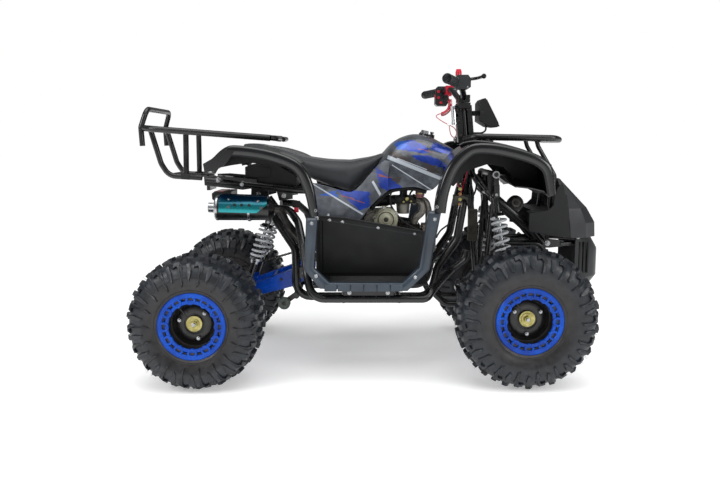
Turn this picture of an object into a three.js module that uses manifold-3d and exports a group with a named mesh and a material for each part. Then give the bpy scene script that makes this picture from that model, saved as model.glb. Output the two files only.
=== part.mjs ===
// A small petrol quad bike with a live rear axle, double front wishbones, steel racks and moulded fenders.
// Millimetres, +X forward, +Y left, +Z up. Every size below is measured from the middle of the wheelbase
// on the ground; the whole quad is then moved so that its origin lies under the middle of its length.
import * as THREE from "three";
import { mergeVertices } from "three/addons/utils/BufferGeometryUtils.js";
import Module from "manifold-3d";

const wasm = await Module();
wasm.setup();

// ---------- driving dimensions ----------
const WHEELBASE = 1110;
const FRONT_X = WHEELBASE / 2;
const REAR_X = -WHEELBASE / 2;
const REARMOST_X = -793; // back of the rear rack
const FOREMOST_X = 903; // front of the nose guard
const FRONT_TYRE = { radius: 241.3, halfWidth: 89, trackHalf: 361 }; // 19 x 7 - 8
const REAR_TYRE = { radius: 228.6, halfWidth: 120.6, trackHalf: 345 }; // 18 x 9.5 - 8
const RIM_RADIUS = 101.6; // 8 inch bead seat
const FLANGE_RADIUS = 112;
const WHEEL_SIDES = 20;
const KINGPIN_Y = 255;
const STEER_RAKE = THREE.MathUtils.degToRad(5.5);
const STEER_REF = { x: 392, z: 870 }; // a point on the steering axis
const PITMAN_LENGTH = 75; // steering arms on the column and on the knuckles
const PITMAN_HALF_GAP = 16;
const TIE_ROD_Z = 288;
const FRAME_TUBE = 15; // radii
const RAIL_TUBE = 13;
const RACK_TUBE = 11;
const RACK_BAR = 9;
const STEP_TUBE = 14;
const GAP = 0.4; // between pieces that meet
const CHAIN_Y = 32;
const SWINGARM = { inner: 55, outer: 90 };
const RISER = { bottom: 826, top: 966, front: 30, halfWidth: 20 }; // flat bars beside the steering shaft
const PIVOT = { x: -205, z: 348 }; // of the swingarm in the frame
const OUTPUT = { x: -25, z: 440 }; // gearbox sprocket
const SHOCK_REAR_Y = 118;
const FENDER_LIP = 38;
const FENDER_SHEET = 6;

// ---------- materials ----------
const finish = (color, roughness, metalness = 0) => new THREE.MeshStandardMaterial({ color, roughness, metalness });
const MATERIALS = {
  frameBlack: finish(0x0e0f11, 0.4, 0.4),
  blackPlastic: finish(0x17181a, 0.6),
  fenderPlastic: finish(0x1d1f22, 0.35),
  greyPlastic: finish(0x3c434b, 0.5),
  graphicPlastic: finish(0x4a4f58, 0.3),
  seatVinyl: finish(0x22262b, 0.7),
  rubber: finish(0x26292d, 0.8),
  rimBlack: finish(0x101012, 0.45, 0.3),
  blueMetal: finish(0x0a2fa0, 0.35, 0.5),
  aluminium: finish(0x9a9a94, 0.45, 0.8),
  steel: finish(0x7d7f82, 0.35, 0.9),
  springWhite: finish(0xc8cbd0, 0.4, 0.3),
  heatShieldTeal: finish(0x2aa6bd, 0.25, 0.7),
  redPlastic: finish(0xc3203a, 0.45),
};

// ---------- closed solids ----------
function solid(geometry) {
  const bare = new THREE.BufferGeometry();
  const loose = geometry.index ? geometry.toNonIndexed() : geometry;
  bare.setAttribute("position", loose.getAttribute("position"));
  const merged = mergeVertices(bare, 1e-3);
  return new wasm.Manifold(
    new wasm.Mesh({
      numProp: 3,
      vertProperties: merged.attributes.position.array,
      triVerts: new Uint32Array(merged.index.array),
    }),
  );
}
const join = (...parts) => parts.flat().reduce((whole, part) => whole.add(part));
const cut = (whole, ...tools) => tools.flat().reduce((left, tool) => left.subtract(tool), whole);
const mirrored = (part) => part.mirror([0, 1, 0]);
const bothSides = (part) => [part, mirrored(part)];

function box([x0, x1], [y0, y1], [z0, z1]) {
  const geometry = new THREE.BoxGeometry(x1 - x0, y1 - y0, z1 - z0);
  return solid(geometry.translate((x0 + x1) / 2, (y0 + y1) / 2, (z0 + z1) / 2));
}

function rod(from, to, radius, sides = radius < 13 ? 6 : 8, endRadius = radius) {
  const a = new THREE.Vector3(...from);
  const b = new THREE.Vector3(...to);
  const along = b.clone().sub(a);
  const geometry = new THREE.CylinderGeometry(endRadius, radius, along.length(), sides);
  const turn = new THREE.Quaternion().setFromUnitVectors(new THREE.Vector3(0, 1, 0), along.clone().normalize());
  geometry.applyQuaternion(turn).translate(...a.add(b).multiplyScalar(0.5));
  return solid(geometry);
}

// Straight runs joined by round bends; a ring of the tube sits only where the line starts, bends or ends.
class BentLine extends THREE.Curve {
  constructor(corners, bendRadius, stepsPerBend) {
    super();
    const points = corners.map((c) => new THREE.Vector3(...c));
    this.stations = [];
    points.forEach((corner, i) => {
      if (i === 0 || i === points.length - 1) {
        const [a, b] = i === 0 ? [points[0], points[1]] : [points[i - 1], points[i]];
        this.stations.push({ point: corner, tangent: b.clone().sub(a).normalize() });
        return;
      }
      const into = corner.clone().sub(points[i - 1]).normalize();
      const out = points[i + 1].clone().sub(corner).normalize();
      const turn = into.angleTo(out);
      const room = 0.49 * Math.min(corner.distanceTo(points[i - 1]), corner.distanceTo(points[i + 1]));
      const reach = Math.min(bendRadius * Math.tan(turn / 2), room);
      const radius = reach / Math.tan(turn / 2);
      const start = corner.clone().addScaledVector(into, -reach);
      const side = out.clone().addScaledVector(into, -out.dot(into)).normalize();
      for (let k = 0; k <= stepsPerBend; k++) {
        const angle = (turn * k) / stepsPerBend;
        this.stations.push({
          point: start
            .clone()
            .addScaledVector(into, radius * Math.sin(angle))
            .addScaledVector(side, radius * (1 - Math.cos(angle))),
          tangent: into.clone().multiplyScalar(Math.cos(angle)).addScaledVector(side, Math.sin(angle)),
        });
      }
    });
  }
  station(u) {
    return this.stations[Math.round(u * (this.stations.length - 1))];
  }
  getPointAt(u, target = new THREE.Vector3()) {
    return target.copy(this.station(u).point);
  }
  getTangentAt(u, target = new THREE.Vector3()) {
    return target.copy(this.station(u).tangent);
  }
}

function tube(corners, radius, bendRadius = 40, { sides = 6, stepsPerBend = 2 } = {}) {
  const line = new BentLine(corners, bendRadius, stepsPerBend);
  const section = new THREE.Shape().absarc(0, 0, radius, 0, 2 * Math.PI);
  const options = { steps: line.stations.length - 1, extrudePath: line, curveSegments: sides / 2 };
  return solid(new THREE.ExtrudeGeometry(section, options));
}

// A cord along a smooth line through its points, with a ring of the section every few millimetres.
function cord(points, radius, spacing, sides = 8) {
  const line = new THREE.CatmullRomCurve3(points.map((p) => new THREE.Vector3(...p)), false, "centripetal");
  const section = new THREE.Shape().absarc(0, 0, radius, 0, 2 * Math.PI);
  const steps = Math.ceil(line.getLength() / spacing);
  return solid(new THREE.ExtrudeGeometry(section, { steps, extrudePath: line, curveSegments: sides / 2 }));
}

const outline = (points) => new THREE.Shape(points.map(([a, b]) => new THREE.Vector2(a, b)));

// An (x, z) outline, extruded from y0 to y1.
function sideExtrusion(points, [y0, y1]) {
  const geometry = new THREE.ExtrudeGeometry(outline(points), { depth: y1 - y0, bevelEnabled: false });
  return solid(geometry.rotateX(Math.PI / 2).translate(0, y1, 0));
}

// An (x, y) outline, extruded from z0 to z1.
function planExtrusion(points, [z0, z1]) {
  const geometry = new THREE.ExtrudeGeometry(outline(points), { depth: z1 - z0, bevelEnabled: false });
  return solid(geometry.translate(0, 0, z0));
}

// A (y, z) outline, extruded from x0 to x1.
function frontExtrusion(points, [x0, x1]) {
  const geometry = new THREE.ExtrudeGeometry(outline(points), { depth: x1 - x0, bevelEnabled: false });
  const axes = new THREE.Matrix4().makeBasis(
    new THREE.Vector3(0, 1, 0),
    new THREE.Vector3(0, 0, 1),
    new THREE.Vector3(1, 0, 0),
  );
  return solid(geometry.applyMatrix4(axes).translate(x0, 0, 0));
}

// A closed (radius, lateral) profile turned about a wheel's axle. A flat, not a corner, lies at the bottom.
function turned(profile, [x, y, z], outward) {
  const grow = 1 / Math.cos(Math.PI / WHEEL_SIDES);
  const points = profile.map(([radius, lateral]) => new THREE.Vector2(radius * grow, lateral * outward));
  if (outward < 0) points.reverse();
  const geometry = new THREE.LatheGeometry([...points, points[0].clone()], WHEEL_SIDES, Math.PI / WHEEL_SIDES);
  return solid(geometry.translate(x, y, z));
}

function smooth(points, count) {
  const spline = new THREE.SplineCurve(points.map(([a, b]) => new THREE.Vector2(a, b)));
  return spline.getSpacedPoints(count).map((p) => [p.x, p.y]);
}

// The points of a line moved sideways by a distance: to its right as it runs.
function offset(points, distance) {
  return points.map((point, i) => {
    const before = points[Math.max(i - 1, 0)];
    const after = points[Math.min(i + 1, points.length - 1)];
    const dx = after[0] - before[0];
    const dz = after[1] - before[1];
    const length = Math.hypot(dx, dz);
    return [point[0] + (dz / length) * distance, point[1] - (dx / length) * distance];
  });
}
const band = (points, thickness) => [...points, ...offset(points, thickness).reverse()];

const steeringX = (z) => STEER_REF.x + (STEER_REF.z - z) * Math.tan(STEER_RAKE);
const onSteering = (z, y = 0) => [steeringX(z), y, z];

const quad = new THREE.Group();
quad.position.x = -(REARMOST_X + FOREMOST_X) / 2;

function add(name, part, material) {
  const { vertProperties, triVerts } = part.getMesh();
  const geometry = new THREE.BufferGeometry();
  geometry.setAttribute("position", new THREE.BufferAttribute(vertProperties, 3));
  geometry.setIndex(new THREE.BufferAttribute(triVerts, 1));
  geometry.computeVertexNormals();
  const mesh = new THREE.Mesh(geometry, material);
  mesh.name = name;
  quad.add(mesh);
}
function addPair(name, right, material) {
  add(name + "_right", right, material);
  add(name + "_left", mirrored(right), material);
}

// ---------- wheels ----------
function tyreProfile({ radius, halfWidth }) {
  const outer = [
    [104, halfWidth - 27],
    [150, halfWidth - 3],
    [radius - 42, halfWidth],
    [radius - 14, halfWidth - 25],
    [radius, halfWidth * 0.42],
  ];
  const inner = [
    [radius - 16, halfWidth * 0.5],
    [118, halfWidth - 36],
  ];
  const flip = ([r, t]) => [r, -t];
  return [...outer.map(flip), ...outer.slice().reverse(), ...inner.slice().reverse(), ...inner.map(flip)];
}

function rimProfile({ halfWidth }, boreRadius) {
  const edge = halfWidth - 24;
  const disc = edge - 50; // inner face of the centre disc
  return [
    [boreRadius, disc],
    [90, disc],
    [94, -edge],
    [FLANGE_RADIUS, -edge - 5],
    [RIM_RADIUS, -edge + 2],
    [RIM_RADIUS, edge - 2],
    [FLANGE_RADIUS, edge + 6],
    [72, edge + 4],
    [72, edge - 4],
    [93, edge - 6],
    [90, disc + 8],
    [boreRadius, disc + 8],
  ];
}

function addWheel(name, x, size, outward, boreRadius, hub) {
  const centre = [x, size.trackHalf * outward, size.radius];
  add(name + "_tyre", turned(tyreProfile(size), centre, outward), MATERIALS.rubber);
  const rim = turned(rimProfile(size, boreRadius), centre, outward);
  add(name + "_rim", hub ? join(rim, hub) : rim, MATERIALS.rimBlack);
}

const discFace = (size) => size.trackHalf + size.halfWidth - 24 - 50 + 8;
for (const [side, outward] of [["right", -1], ["left", 1]]) {
  const face = discFace(FRONT_TYRE);
  const at = (y) => [FRONT_X, y * outward, FRONT_TYRE.radius];
  const boss = cut(rod(at(face - 62), at(face + 6), 27, 16), rod(at(face - 64), at(face), 16.5, 16));
  addWheel("front_" + side, FRONT_X, FRONT_TYRE, outward, 22, boss);
  addWheel("rear_" + side, REAR_X, REAR_TYRE, outward, 16, null);
}

// ---------- live rear axle with sprocket and brake disc ----------
{
  const at = (y) => [REAR_X, y, REAR_TYRE.radius];
  const face = discFace(REAR_TYRE);
  const hub = (s) => join(
    rod(at(s * 262), at(s * (face - 8 - GAP)), 32, 12),
    rod(at(s * (face + GAP)), at(s * (face + 8)), 26, 12),
  );
  const shaft = rod(at(-face - 4), at(face + 4), 15, 12);
  const sprocket = rod(at(CHAIN_Y - 3), at(CHAIN_Y + 3), 76, 16);
  const brakeDisc = rod(at(-CHAIN_Y - 2), at(-CHAIN_Y + 2), 78, 16);
  add("rear_axle", join(shaft, hub(1), hub(-1), sprocket, brakeDisc), MATERIALS.steel);
}

// ---------- swingarm ----------
{
  const leg = [
    [-590, 205], [-590, 252], [-520, 262], [-385, 310], [-242, 361], [-222, 374], [-196, 374],
    [-178, 358], [-178, 336], [-196, 321], [-251, 291], [-371, 260], [-520, 205],
  ];
  const { inner, outer } = SWINGARM;
  const bore = rod([REAR_X, inner - 5, 228.6], [REAR_X, outer + 5, 228.6], 17, 16);
  const shockPlate = box([-450, -395], [outer - 2, outer + 42], [275, 285]);
  const pivotBore = rod([PIVOT.x, inner - 5, PIVOT.z], [PIVOT.x, outer + 5, PIVOT.z], 12, 16);
  const right = cut(join(sideExtrusion(leg, [inner, outer]), shockPlate), bore, pivotBore);
  const crossTube = rod([-300, -inner - 2, 312], [-300, inner + 2, 312], 15);
  add("swingarm", join(right, mirrored(right), crossTube), MATERIALS.blueMetal);
}

// ---------- chain: one fixed loop round both sprockets ----------
{
  const rear = { x: REAR_X, z: REAR_TYRE.radius, r: 92 };
  const front = { ...OUTPUT, r: 36 };
  const angle = Math.atan2(front.z - rear.z, front.x - rear.x);
  const lean = Math.acos((rear.r - front.r) / Math.hypot(front.x - rear.x, front.z - rear.z));
  const loop = (shrink) => {
    const points = [];
    const arc = (wheel, start, end, steps) => {
      for (let k = 0; k <= steps; k++) {
        const a = start + ((end - start) * k) / steps;
        points.push([wheel.x + (wheel.r - shrink) * Math.cos(a), wheel.z + (wheel.r - shrink) * Math.sin(a)]);
      }
    };
    arc(rear, angle + lean, angle + 2 * Math.PI - lean, 12);
    arc(front, angle - lean, angle + lean, 6);
    return points;
  };
  const chain = cut(
    sideExtrusion(loop(0), [CHAIN_Y - 6, CHAIN_Y + 6]),
    sideExtrusion(loop(11), [CHAIN_Y - 7, CHAIN_Y + 7]),
  );
  add("drive_chain", chain, MATERIALS.steel);
}

// ---------- frame ----------
{
  const side = tube(
    [[-363, 75, 612], [-242, 110, 435], [-242, 110, 258], [258, 110, 258], [285, 110, 370], [354, 108, 470], [376, 100, 600], [396, 48, 704]],
    FRAME_TUBE, 45,
  );
  const cross = (x, z, r = 12) => rod([x, -110, z], [x, 110, z], r);
  const pivot = rod([PIVOT.x, -112, PIVOT.z], [PIVOT.x, 112, PIVOT.z], 11, 12);
  const pegTubes = [-60, 130].map((x) => tube([[x, -204, 290], [x, -110, 262], [x, 110, 262], [x, 204, 290]], 10, 20));
  const hangers = bothSides(box([-250, -188], [104, 115], [328, 368]));
  add("frame_cradle", join(side, mirrored(side), cross(-242, 260), cross(258, 262), pivot, hangers, pegTubes), MATERIALS.frameBlack);
}
{
  const head = rod(onSteering(696), onSteering(786), 27, 14);
  const shaftWay = rod(onSteering(690), onSteering(796), 17, 14);
  const spine = tube([[steeringX(742) - 8, 0, 742], [250, 0, 728], [70, 0, 660], [-70, 0, 648]], 19, 60);
  const rail = tube([[-60, 0, 650], [-110, 118, 652], [-240, 122, 655], [-566, 122, 690]], RAIL_TUBE, 50);
  const rackBracket = sideExtrusion([[-566, 676], [-566, 704], [-380, 690], [-380, 660]], [120, 128]);
  const tailBridge = rod([-545, -122, 688], [-545, 122, 688], 10);
  const midBridge = rod([-300, -122, 661], [-300, 122, 661], 10);
  const hitchPlate = box([-575, -563], [-60, 60], [650, 700]);
  const hitchTie = box([-566, -540], [-12, 12], [676, 688]);
  const rearSide = [rail, rackBracket];
  add(
    "frame_backbone",
    cut(join(head, spine, rearSide, rearSide.map(mirrored), tailBridge, midBridge, hitchPlate, hitchTie), shaftWay),
    MATERIALS.frameBlack,
  );
}
{
  const lower = tube([[276, 75, 262], [318, 75, 222], [672, 75, 222], [680, 95, 455], [500, 95, 455], [484, 95, 712]], 12, 30);
  const brace = tube([[462, 95, 655], [640, 95, 500], [676, 95, 455]], 13, 40);
  const upperPivot = rod([458, 92, 345], [676, 92, 345], 10);
  const upright = rod([486, 95, 600], [457, 76, 222], 11);
  const headStay = tube([[480, 95, 640], [432, 46, 704]], 12);
  const shockPlate = box([474, 500], [104, 118], [626, 716]);
  const bumperArm = join(
    sideExtrusion([[665, 440], [665, 470], [745, 466], [745, 446]], [97, 105]),
    tube([[735, 101, 456], [800, 84, 456], [856, 36, 456]], 9, 40),
  );
  const side = [lower, brace, upperPivot, upright, headStay, shockPlate, bumperArm];
  const cross = (x, y, z, r = 11) => rod([x, -y, z], [x, y, z], r);
  const shockBar = cross(484, 160, 712, 12);
  const lowerBush = cut(
    join(box([405, 560], [-26, 26], [228, 244]), rod([560, -75, 226], [560, 75, 226], 10), rod([425, -75, 226], [425, 75, 226], 10)),
    rod(onSteering(200), onSteering(260), 16, 14),
  );
  const noseBar = rod([856, -40, 456], [856, 40, 456], 9);
  const mountBar = cross(678, 101, 455);
  const fasciaPost = join(
    rod([690, -95, 455], [704, -70, 660], 8, 8),
    rod([690, 95, 455], [704, 70, 660], 8, 8),
    rod([704, -74, 660], [704, 74, 660], 8, 8),
  );
  const tie = cross(484, 95, 640);
  const upperTie = cross(655, 92, 345);
  add(
    "front_subframe",
    join(side, side.map(mirrored), shockBar, lowerBush, noseBar, mountBar, fasciaPost, tie, upperTie),
    MATERIALS.frameBlack,
  );
}

// ---------- front suspension ----------
{
  const eye = (y, z0, z1) => rod([FRONT_X, -y, z0], [FRONT_X, -y, z1], 16, 12);
  const pivotSleeve = (x0, x1, y, z, r, bore) => cut(
    rod([x0, -y, z], [x1, -y, z], r, 12),
    rod([x0 - 2, -y, z], [x1 + 2, -y, z], bore, 12),
  );
  const lowerArm = join(
    tube([[496, -92, 220], [505, -190, 192], [552, -KINGPIN_Y + 6, 166]], 11, 30),
    tube([[620, -92, 220], [607, -190, 192], [558, -KINGPIN_Y + 6, 166]], 11, 30),
    rod([505, -185, 194], [607, -185, 194], 8),
    box([528, 562], [-200, -175], [190, 208]),
    eye(KINGPIN_Y, 154, 182),
    pivotSleeve(478, 514, 75, 222, 21, 12.8),
    pivotSleeve(602, 638, 75, 222, 21, 12.8),
  );
  addPair("front_lower_arm", lowerArm, MATERIALS.blueMetal);
  const upperArm = join(
    tube([[497, -108, 345], [496, -200, 338], [547, -KINGPIN_Y + 6, 327]], 10, 30),
    tube([[616, -108, 345], [606, -200, 338], [563, -KINGPIN_Y + 6, 327]], 10, 30),
    eye(KINGPIN_Y, 316, 338),
    pivotSleeve(486, 514, 92, 345, 18, 11),
    pivotSleeve(602, 630, 92, 345, 18, 11),
  );
  addPair("front_upper_arm", upperArm, MATERIALS.blueMetal);
}

function shock(bottom, top, { body, coil, coilFrom, coilTo, eye }) {
  const a = new THREE.Vector3(...bottom);
  const b = new THREE.Vector3(...top);
  const at = (t) => a.clone().lerp(b, t).toArray();
  const cross = (p, half) => rod([p[0], p[1] - half, p[2]], [p[0], p[1] + half, p[2]], eye, 10);
  return join(
    rod(at(0), at(1), body, 8),
    rod(at(coilFrom), at(coilTo), coil, 10),
    cross(bottom, 11),
    cross(top, 11),
  );
}
addPair(
  "front_shock",
  shock([545, -190, 224], [487, -133, 640], { body: 14, coil: 25, coilFrom: 0.36, coilTo: 0.8, eye: 13 }),
  MATERIALS.springWhite,
);
addPair(
  "rear_shock",
  shock([-423, -SHOCK_REAR_Y, 302], [-340, -SHOCK_REAR_Y, 538], { body: 12, coil: 23, coilFrom: 0.45, coilTo: 0.92, eye: 12 }),
  MATERIALS.springWhite,
);

// ---------- steering knuckles and tie rods ----------
{
  const upright = join(
    rod([FRONT_X, -KINGPIN_Y, 190], [FRONT_X, -KINGPIN_Y, 308], 14, 12),
    rod([FRONT_X, -KINGPIN_Y, 183], [FRONT_X, -KINGPIN_Y, 315], 8, 12),
  );
  const spindle = rod(
    [FRONT_X, -KINGPIN_Y, FRONT_TYRE.radius],
    [FRONT_X, -discFace(FRONT_TYRE) + 3, FRONT_TYRE.radius],
    14, 14,
  );
  const arm = planExtrusion(
    [[FRONT_X + 6, -KINGPIN_Y + 10], [FRONT_X - PITMAN_LENGTH - 8, -KINGPIN_Y - PITMAN_HALF_GAP + 9],
      [FRONT_X - PITMAN_LENGTH - 8, -KINGPIN_Y - PITMAN_HALF_GAP - 8], [FRONT_X + 6, -KINGPIN_Y - 10]],
    [258, 272],
  );
  addPair("knuckle", join(upright, spindle, arm), MATERIALS.steel);
  const inner = [steeringX(TIE_ROD_Z) - PITMAN_LENGTH, -PITMAN_HALF_GAP, TIE_ROD_Z];
  const outer = [FRONT_X - PITMAN_LENGTH, -KINGPIN_Y - PITMAN_HALF_GAP, TIE_ROD_Z];
  addPair("tie_rod", rod(inner, outer, 6), MATERIALS.steel);
}

// ---------- steering column, handlebar and lamp ----------
{
  const column = rod(onSteering(232), onSteering(968), 13, 12);
  const armX = steeringX(270);
  const pitman = box([armX - PITMAN_LENGTH - 10, armX + 6], [-26, 26], [258, 276]);
  const clampPlate = box([steeringX(960) - 24, steeringX(960) + 22], [-48, 48], [950, 974]);
  const stop = rod(onSteering(790), onSteering(806), 24, 12);
  const riser = (behind, ahead) => sideExtrusion(
    [
      [steeringX(RISER.bottom) + behind, RISER.bottom],
      [steeringX(RISER.bottom) + ahead, RISER.bottom],
      [steeringX(RISER.top) + ahead, RISER.top],
      [steeringX(RISER.top) + behind, RISER.top],
    ],
    [-RISER.halfWidth, RISER.halfWidth],
  );
  const risers = [riser(-32, -8), riser(10, RISER.front)];
  const lockTube = rod([350, -14, 893], [344, -14, 963], 11, 12);
  const lockBand = box([344, 364], [-20, -8], [920, 934]);
  add("steering_column", join(column, pitman, clampPlate, stop, risers, lockTube, lockBand), MATERIALS.frameBlack);

  const half = [[steeringX(988), 0, 988], [376, -66, 992], [356, -130, 1032], [276, -388, 1029]];
  const bar = tube(half, 11, 40);
  const otherBar = tube(half.map(([x, y, z]) => [x, -y, z]), 11, 40);
  const grip = rod([314, -266, 1030], [273, -398, 1028.8], 17, 12);
  const clamp = box([360, 404], [-42, 42], [974 + GAP, 1002]);
  const lever = join(
    tube([[338, -240, 1036], [392, -262, 1041], [399, -350, 1040]], 6, 30),
    rod([398.3, -342, 1040], [399.3, -358, 1040], 8.5, 8),
  );
  const throttleBox = box([318, 372], [-262, -212], [1004, 1054]);
  const stopButton = rod([332, -235, 1050], [332, -235, 1074], 11, 10, 8);
  const switchBox = box([300, 356], [205, 262], [972, 1052]);
  const tetherSwitch = join(box([334, 368], [140, 196], [1014, 1050]), rod([351, 150, 1020], [351, 150, 1008], 9.5, 10));
  add(
    "handlebar",
    join(bar, otherBar, clamp, bothSides(grip), bothSides(lever), throttleBox, stopButton, switchBox, tetherSwitch),
    MATERIALS.rubber,
  );

  const pod = [[436, 905], [436, 975], [446, 988], [458, 990], [514, 884], [500, 880], [470, 884]];
  const shell = sideExtrusion(pod, [-62, 62]);
  const meet = (z) => [steeringX(z) + RISER.front + GAP, z];
  const bracket = sideExtrusion([meet(925), [440, 925], [440, 945], meet(945)], [-16, 16]);
  const lead = tube([[470, 0, 890], [470, 0, 868], [452, 0, 862], [424, 0, 862]], 4, 14);
  add("headlamp_pod", join(shell, bracket, lead), MATERIALS.blackPlastic);
}

// ---------- safety lanyard: a curly cord from the left switch, then a thin tail with a wrist loop and clip ----------
{
  const CORD_RADIUS = 1.6;
  const COIL_RADIUS = 8.8; // outside the turns
  const coilRoute = [
    [351, 150, 1007.5], [351, 150, 996], [353, 149, 978], [348, 144, 957], [330, 136, 941], [309, 130, 936],
  ];
  const tailRoute = [[308.6, 129.9, 936], [300, 127.5, 934.5], [296, 125, 928], [303, 120, 920], [320, 112, 908], [338, 102, 897.5]];
  add("lanyard_coil", cord(coilRoute, COIL_RADIUS, 14, 10), MATERIALS.redPlastic);
  add("lanyard_cord", cord(tailRoute, CORD_RADIUS, 8), MATERIALS.redPlastic);
  const ferrule = rod([338.5, 101.7, 897.2], [346, 97.5, 892.5], 3.2, 8);
  const wristLoop = cord(
    [[345, 98, 893], [362, 92, 884], [372, 90, 866], [368, 90, 850], [358, 91, 848], [349, 94, 862], [344.5, 98.2, 892]],
    CORD_RADIUS, 7,
  );
  const clip = rod([365, 90, 849], [366, 90, 827], 3, 8);
  add("lanyard_clip", join(ferrule, wristLoop, clip), MATERIALS.redPlastic);
}

// ---------- engine ----------
{
  const caseOutline = [[20, 575], [14, 470], [40, 412], [126, 404], [138, 430], [138, 536], [124, 580]];
  const crankcase = sideExtrusion(caseOutline, [-72, 68]);
  const alternator = join(
    rod([92, -70, 545], [92, -100, 545], 55, 20),
    rod([92, -98, 545], [92, -112, 545], 36, 20),
  );
  const clutchCover = rod([84, 66, 480], [84, 92, 480], 54, 18);
  const footLugs = [26, 96].map((x) => box([x, x + 30], [-40, 40], [273 + GAP, 420]));
  const output = join(
    box([OUTPUT.x - 13, 30], [46, 64], [OUTPUT.z - 16, OUTPUT.z + 16]),
    rod([OUTPUT.x, 27, OUTPUT.z], [OUTPUT.x, 50, OUTPUT.z], 9, 12),
    rod([OUTPUT.x, 27, OUTPUT.z], [OUTPUT.x, 37, OUTPUT.z], 20, 16),
  );
  add("engine_block", join(crankcase, alternator, clutchCover, footLugs, output), MATERIALS.aluminium);

  const axis = (t) => [139 + t * 100, 0, 482 - t * 12]; // the cylinder lies nearly level, ahead of the case
  const barrel = cut(rod(axis(0), axis(1), 34, 14), box([100, 138 + GAP], [-40, 40], [420, 540]));
  const fins = [0.1, 0.24, 0.38, 0.52, 0.66, 0.8].map((t) => {
    const [x, , z] = axis(t);
    return box([x - 2.5, x + 2.5], [-54, 54], [z - 52, z + 50]);
  });
  const head = box([232, 284], [-46, 46], [418, 520]);
  add("engine_cylinder", join(barrel, fins, head), MATERIALS.aluminium);

  const bowl = rod([161, -14, 572], [161, -14, 616], 25, 12);
  const throat = rod([116, -14, 614], [206, -14, 614], 19, 12);
  const manifold = tube(
    [[200, -14, 614], [246, -14, 610], [256, -14, 574], [258, -14, 545], [258, -14, 520 + GAP]],
    14, 40,
  );
  const slideCap = rod([161, -14, 614], [161, -14, 656], 15, 12);
  const airFilter = rod([48, -14, 608], [118, -14, 611], 24, 14);
  add("carburettor", join(bowl, throat, manifold, slideCap, airFilter), MATERIALS.aluminium);
}

// ---------- exhaust ----------
{
  const pipe = tube(
    [
      [262, -8, 418 - GAP], [262, -8, 362], [236, -60, 340], [226, -150, 346], [170, -158, 374], [-110, -156, 376],
      [-190, -150, 430], [-262, -158, 520], [-280, -250, 595], [-299.5, -250, 596],
    ],
    14, 45,
  );
  add("exhaust_pipe", pipe, MATERIALS.steel);
  const along = (x) => [x, -250, 596 + (-310 - x) * 0.03];
  const can = rod(along(-308), along(-505), 44, 16);
  const cone = rod(along(-300), along(-318), 24, 16, 43);
  const outlet = rod(along(-500), along(-530), 17, 14);
  const strap = box([-400, -372], [-215, -130 - GAP], [596, 604]);
  add("muffler", join(can, cone, outlet, strap), MATERIALS.steel);
  const shieldOuter = rod(along(-322), along(-486), 51, 20);
  const shieldInner = rod(along(-300), along(-520), 45.5, 20);
  const keep = box([-500, -300], [-320, -248], [582, 660]);
  add("heat_shield", cut(shieldOuter, shieldInner).intersect(keep), MATERIALS.heatShieldTeal);
}

// ---------- seat ----------
{
  const top = smooth([[-432, 806], [-415, 824], [-330, 812], [-215, 778], [-54, 762], [20, 770], [74, 786]], 10);
  const under = smooth([[86, 766], [56, 741], [30, 708], [4, 678], [-41, 646], [-126, 672], [-204, 704], [-256, 744], [-330, 764], [-420, 790]], 10);
  const profile = sideExtrusion([...top, ...under].reverse(), [-160, 160]);
  const plan = planExtrusion(
    [[-435, -120], [-300, -140], [-120, -150], [20, -118], [88, -84], [88, 84], [20, 118], [-120, 150], [-300, 140], [-435, 120]],
    [600, 900],
  );
  const crown = frontExtrusion([[-152, 640], [152, 640], [150, 760], [118, 812], [70, 830], [-70, 830], [-118, 812], [-150, 760]], [-440, 90]);
  const spineRoom = box([-120, 100], [-26, 26], [600, 688]);
  const railRoom = box([-140, -30], [-136, 136], [600, 671]);
  add("seat", cut(profile.intersect(plan).intersect(crown), spineRoom, railRoom), MATERIALS.seatVinyl);
}

// ---------- tank cover and side panels ----------
{
  const top = smooth([[90, 788], [112, 822], [150, 846], [200, 858], [262, 848], [330, 812], [352, 798]], 9);
  const profile = [...top, [352, 770], [292, 690], [268, 650], [190, 668], [140, 664], [96, 652], [56, 622], [40, 650], [96, 748]];
  const shell = (inset) => {
    const side = sideExtrusion(profile.slice().reverse(), [-160 + inset, 160 - inset]);
    const front = frontExtrusion(
      [[-152, 600], [152, 600], [150, 700], [128, 790], [80, 850], [30, 866], [-30, 866], [-80, 850], [-128, 790], [-150, 700]]
        .map(([y, z]) => [y * (1 - inset / 150), z - inset]),
      [30, 370],
    );
    return side.intersect(front);
  };
  const hollow = join(
    box([110, 344], [-138, 138], [560, 752]),
    box([30, 130], [-130, 130], [560, 700]),
    box([80, 400], [-28, 28], [600, 772]),
  );
  const capRing = rod([246, 0, 845], [249, 0, 868], 30, 14);
  add("tank_cover", cut(join(shell(0), capRing), hollow), MATERIALS.graphicPlastic);

  const panel = [
    [-182, 686], [-126, 672], [-41, 648], [4, 680], [31, 712], [58, 744], [84, 764], [102, 760], [96, 700], [98, 656],
    [62, 628], [30, 596], [8, 562], [-36, 514], [-120, 545], [-158, 562],
  ];
  addPair("side_panel", sideExtrusion(panel.reverse(), [-168, -161]), MATERIALS.graphicPlastic);
}

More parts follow.
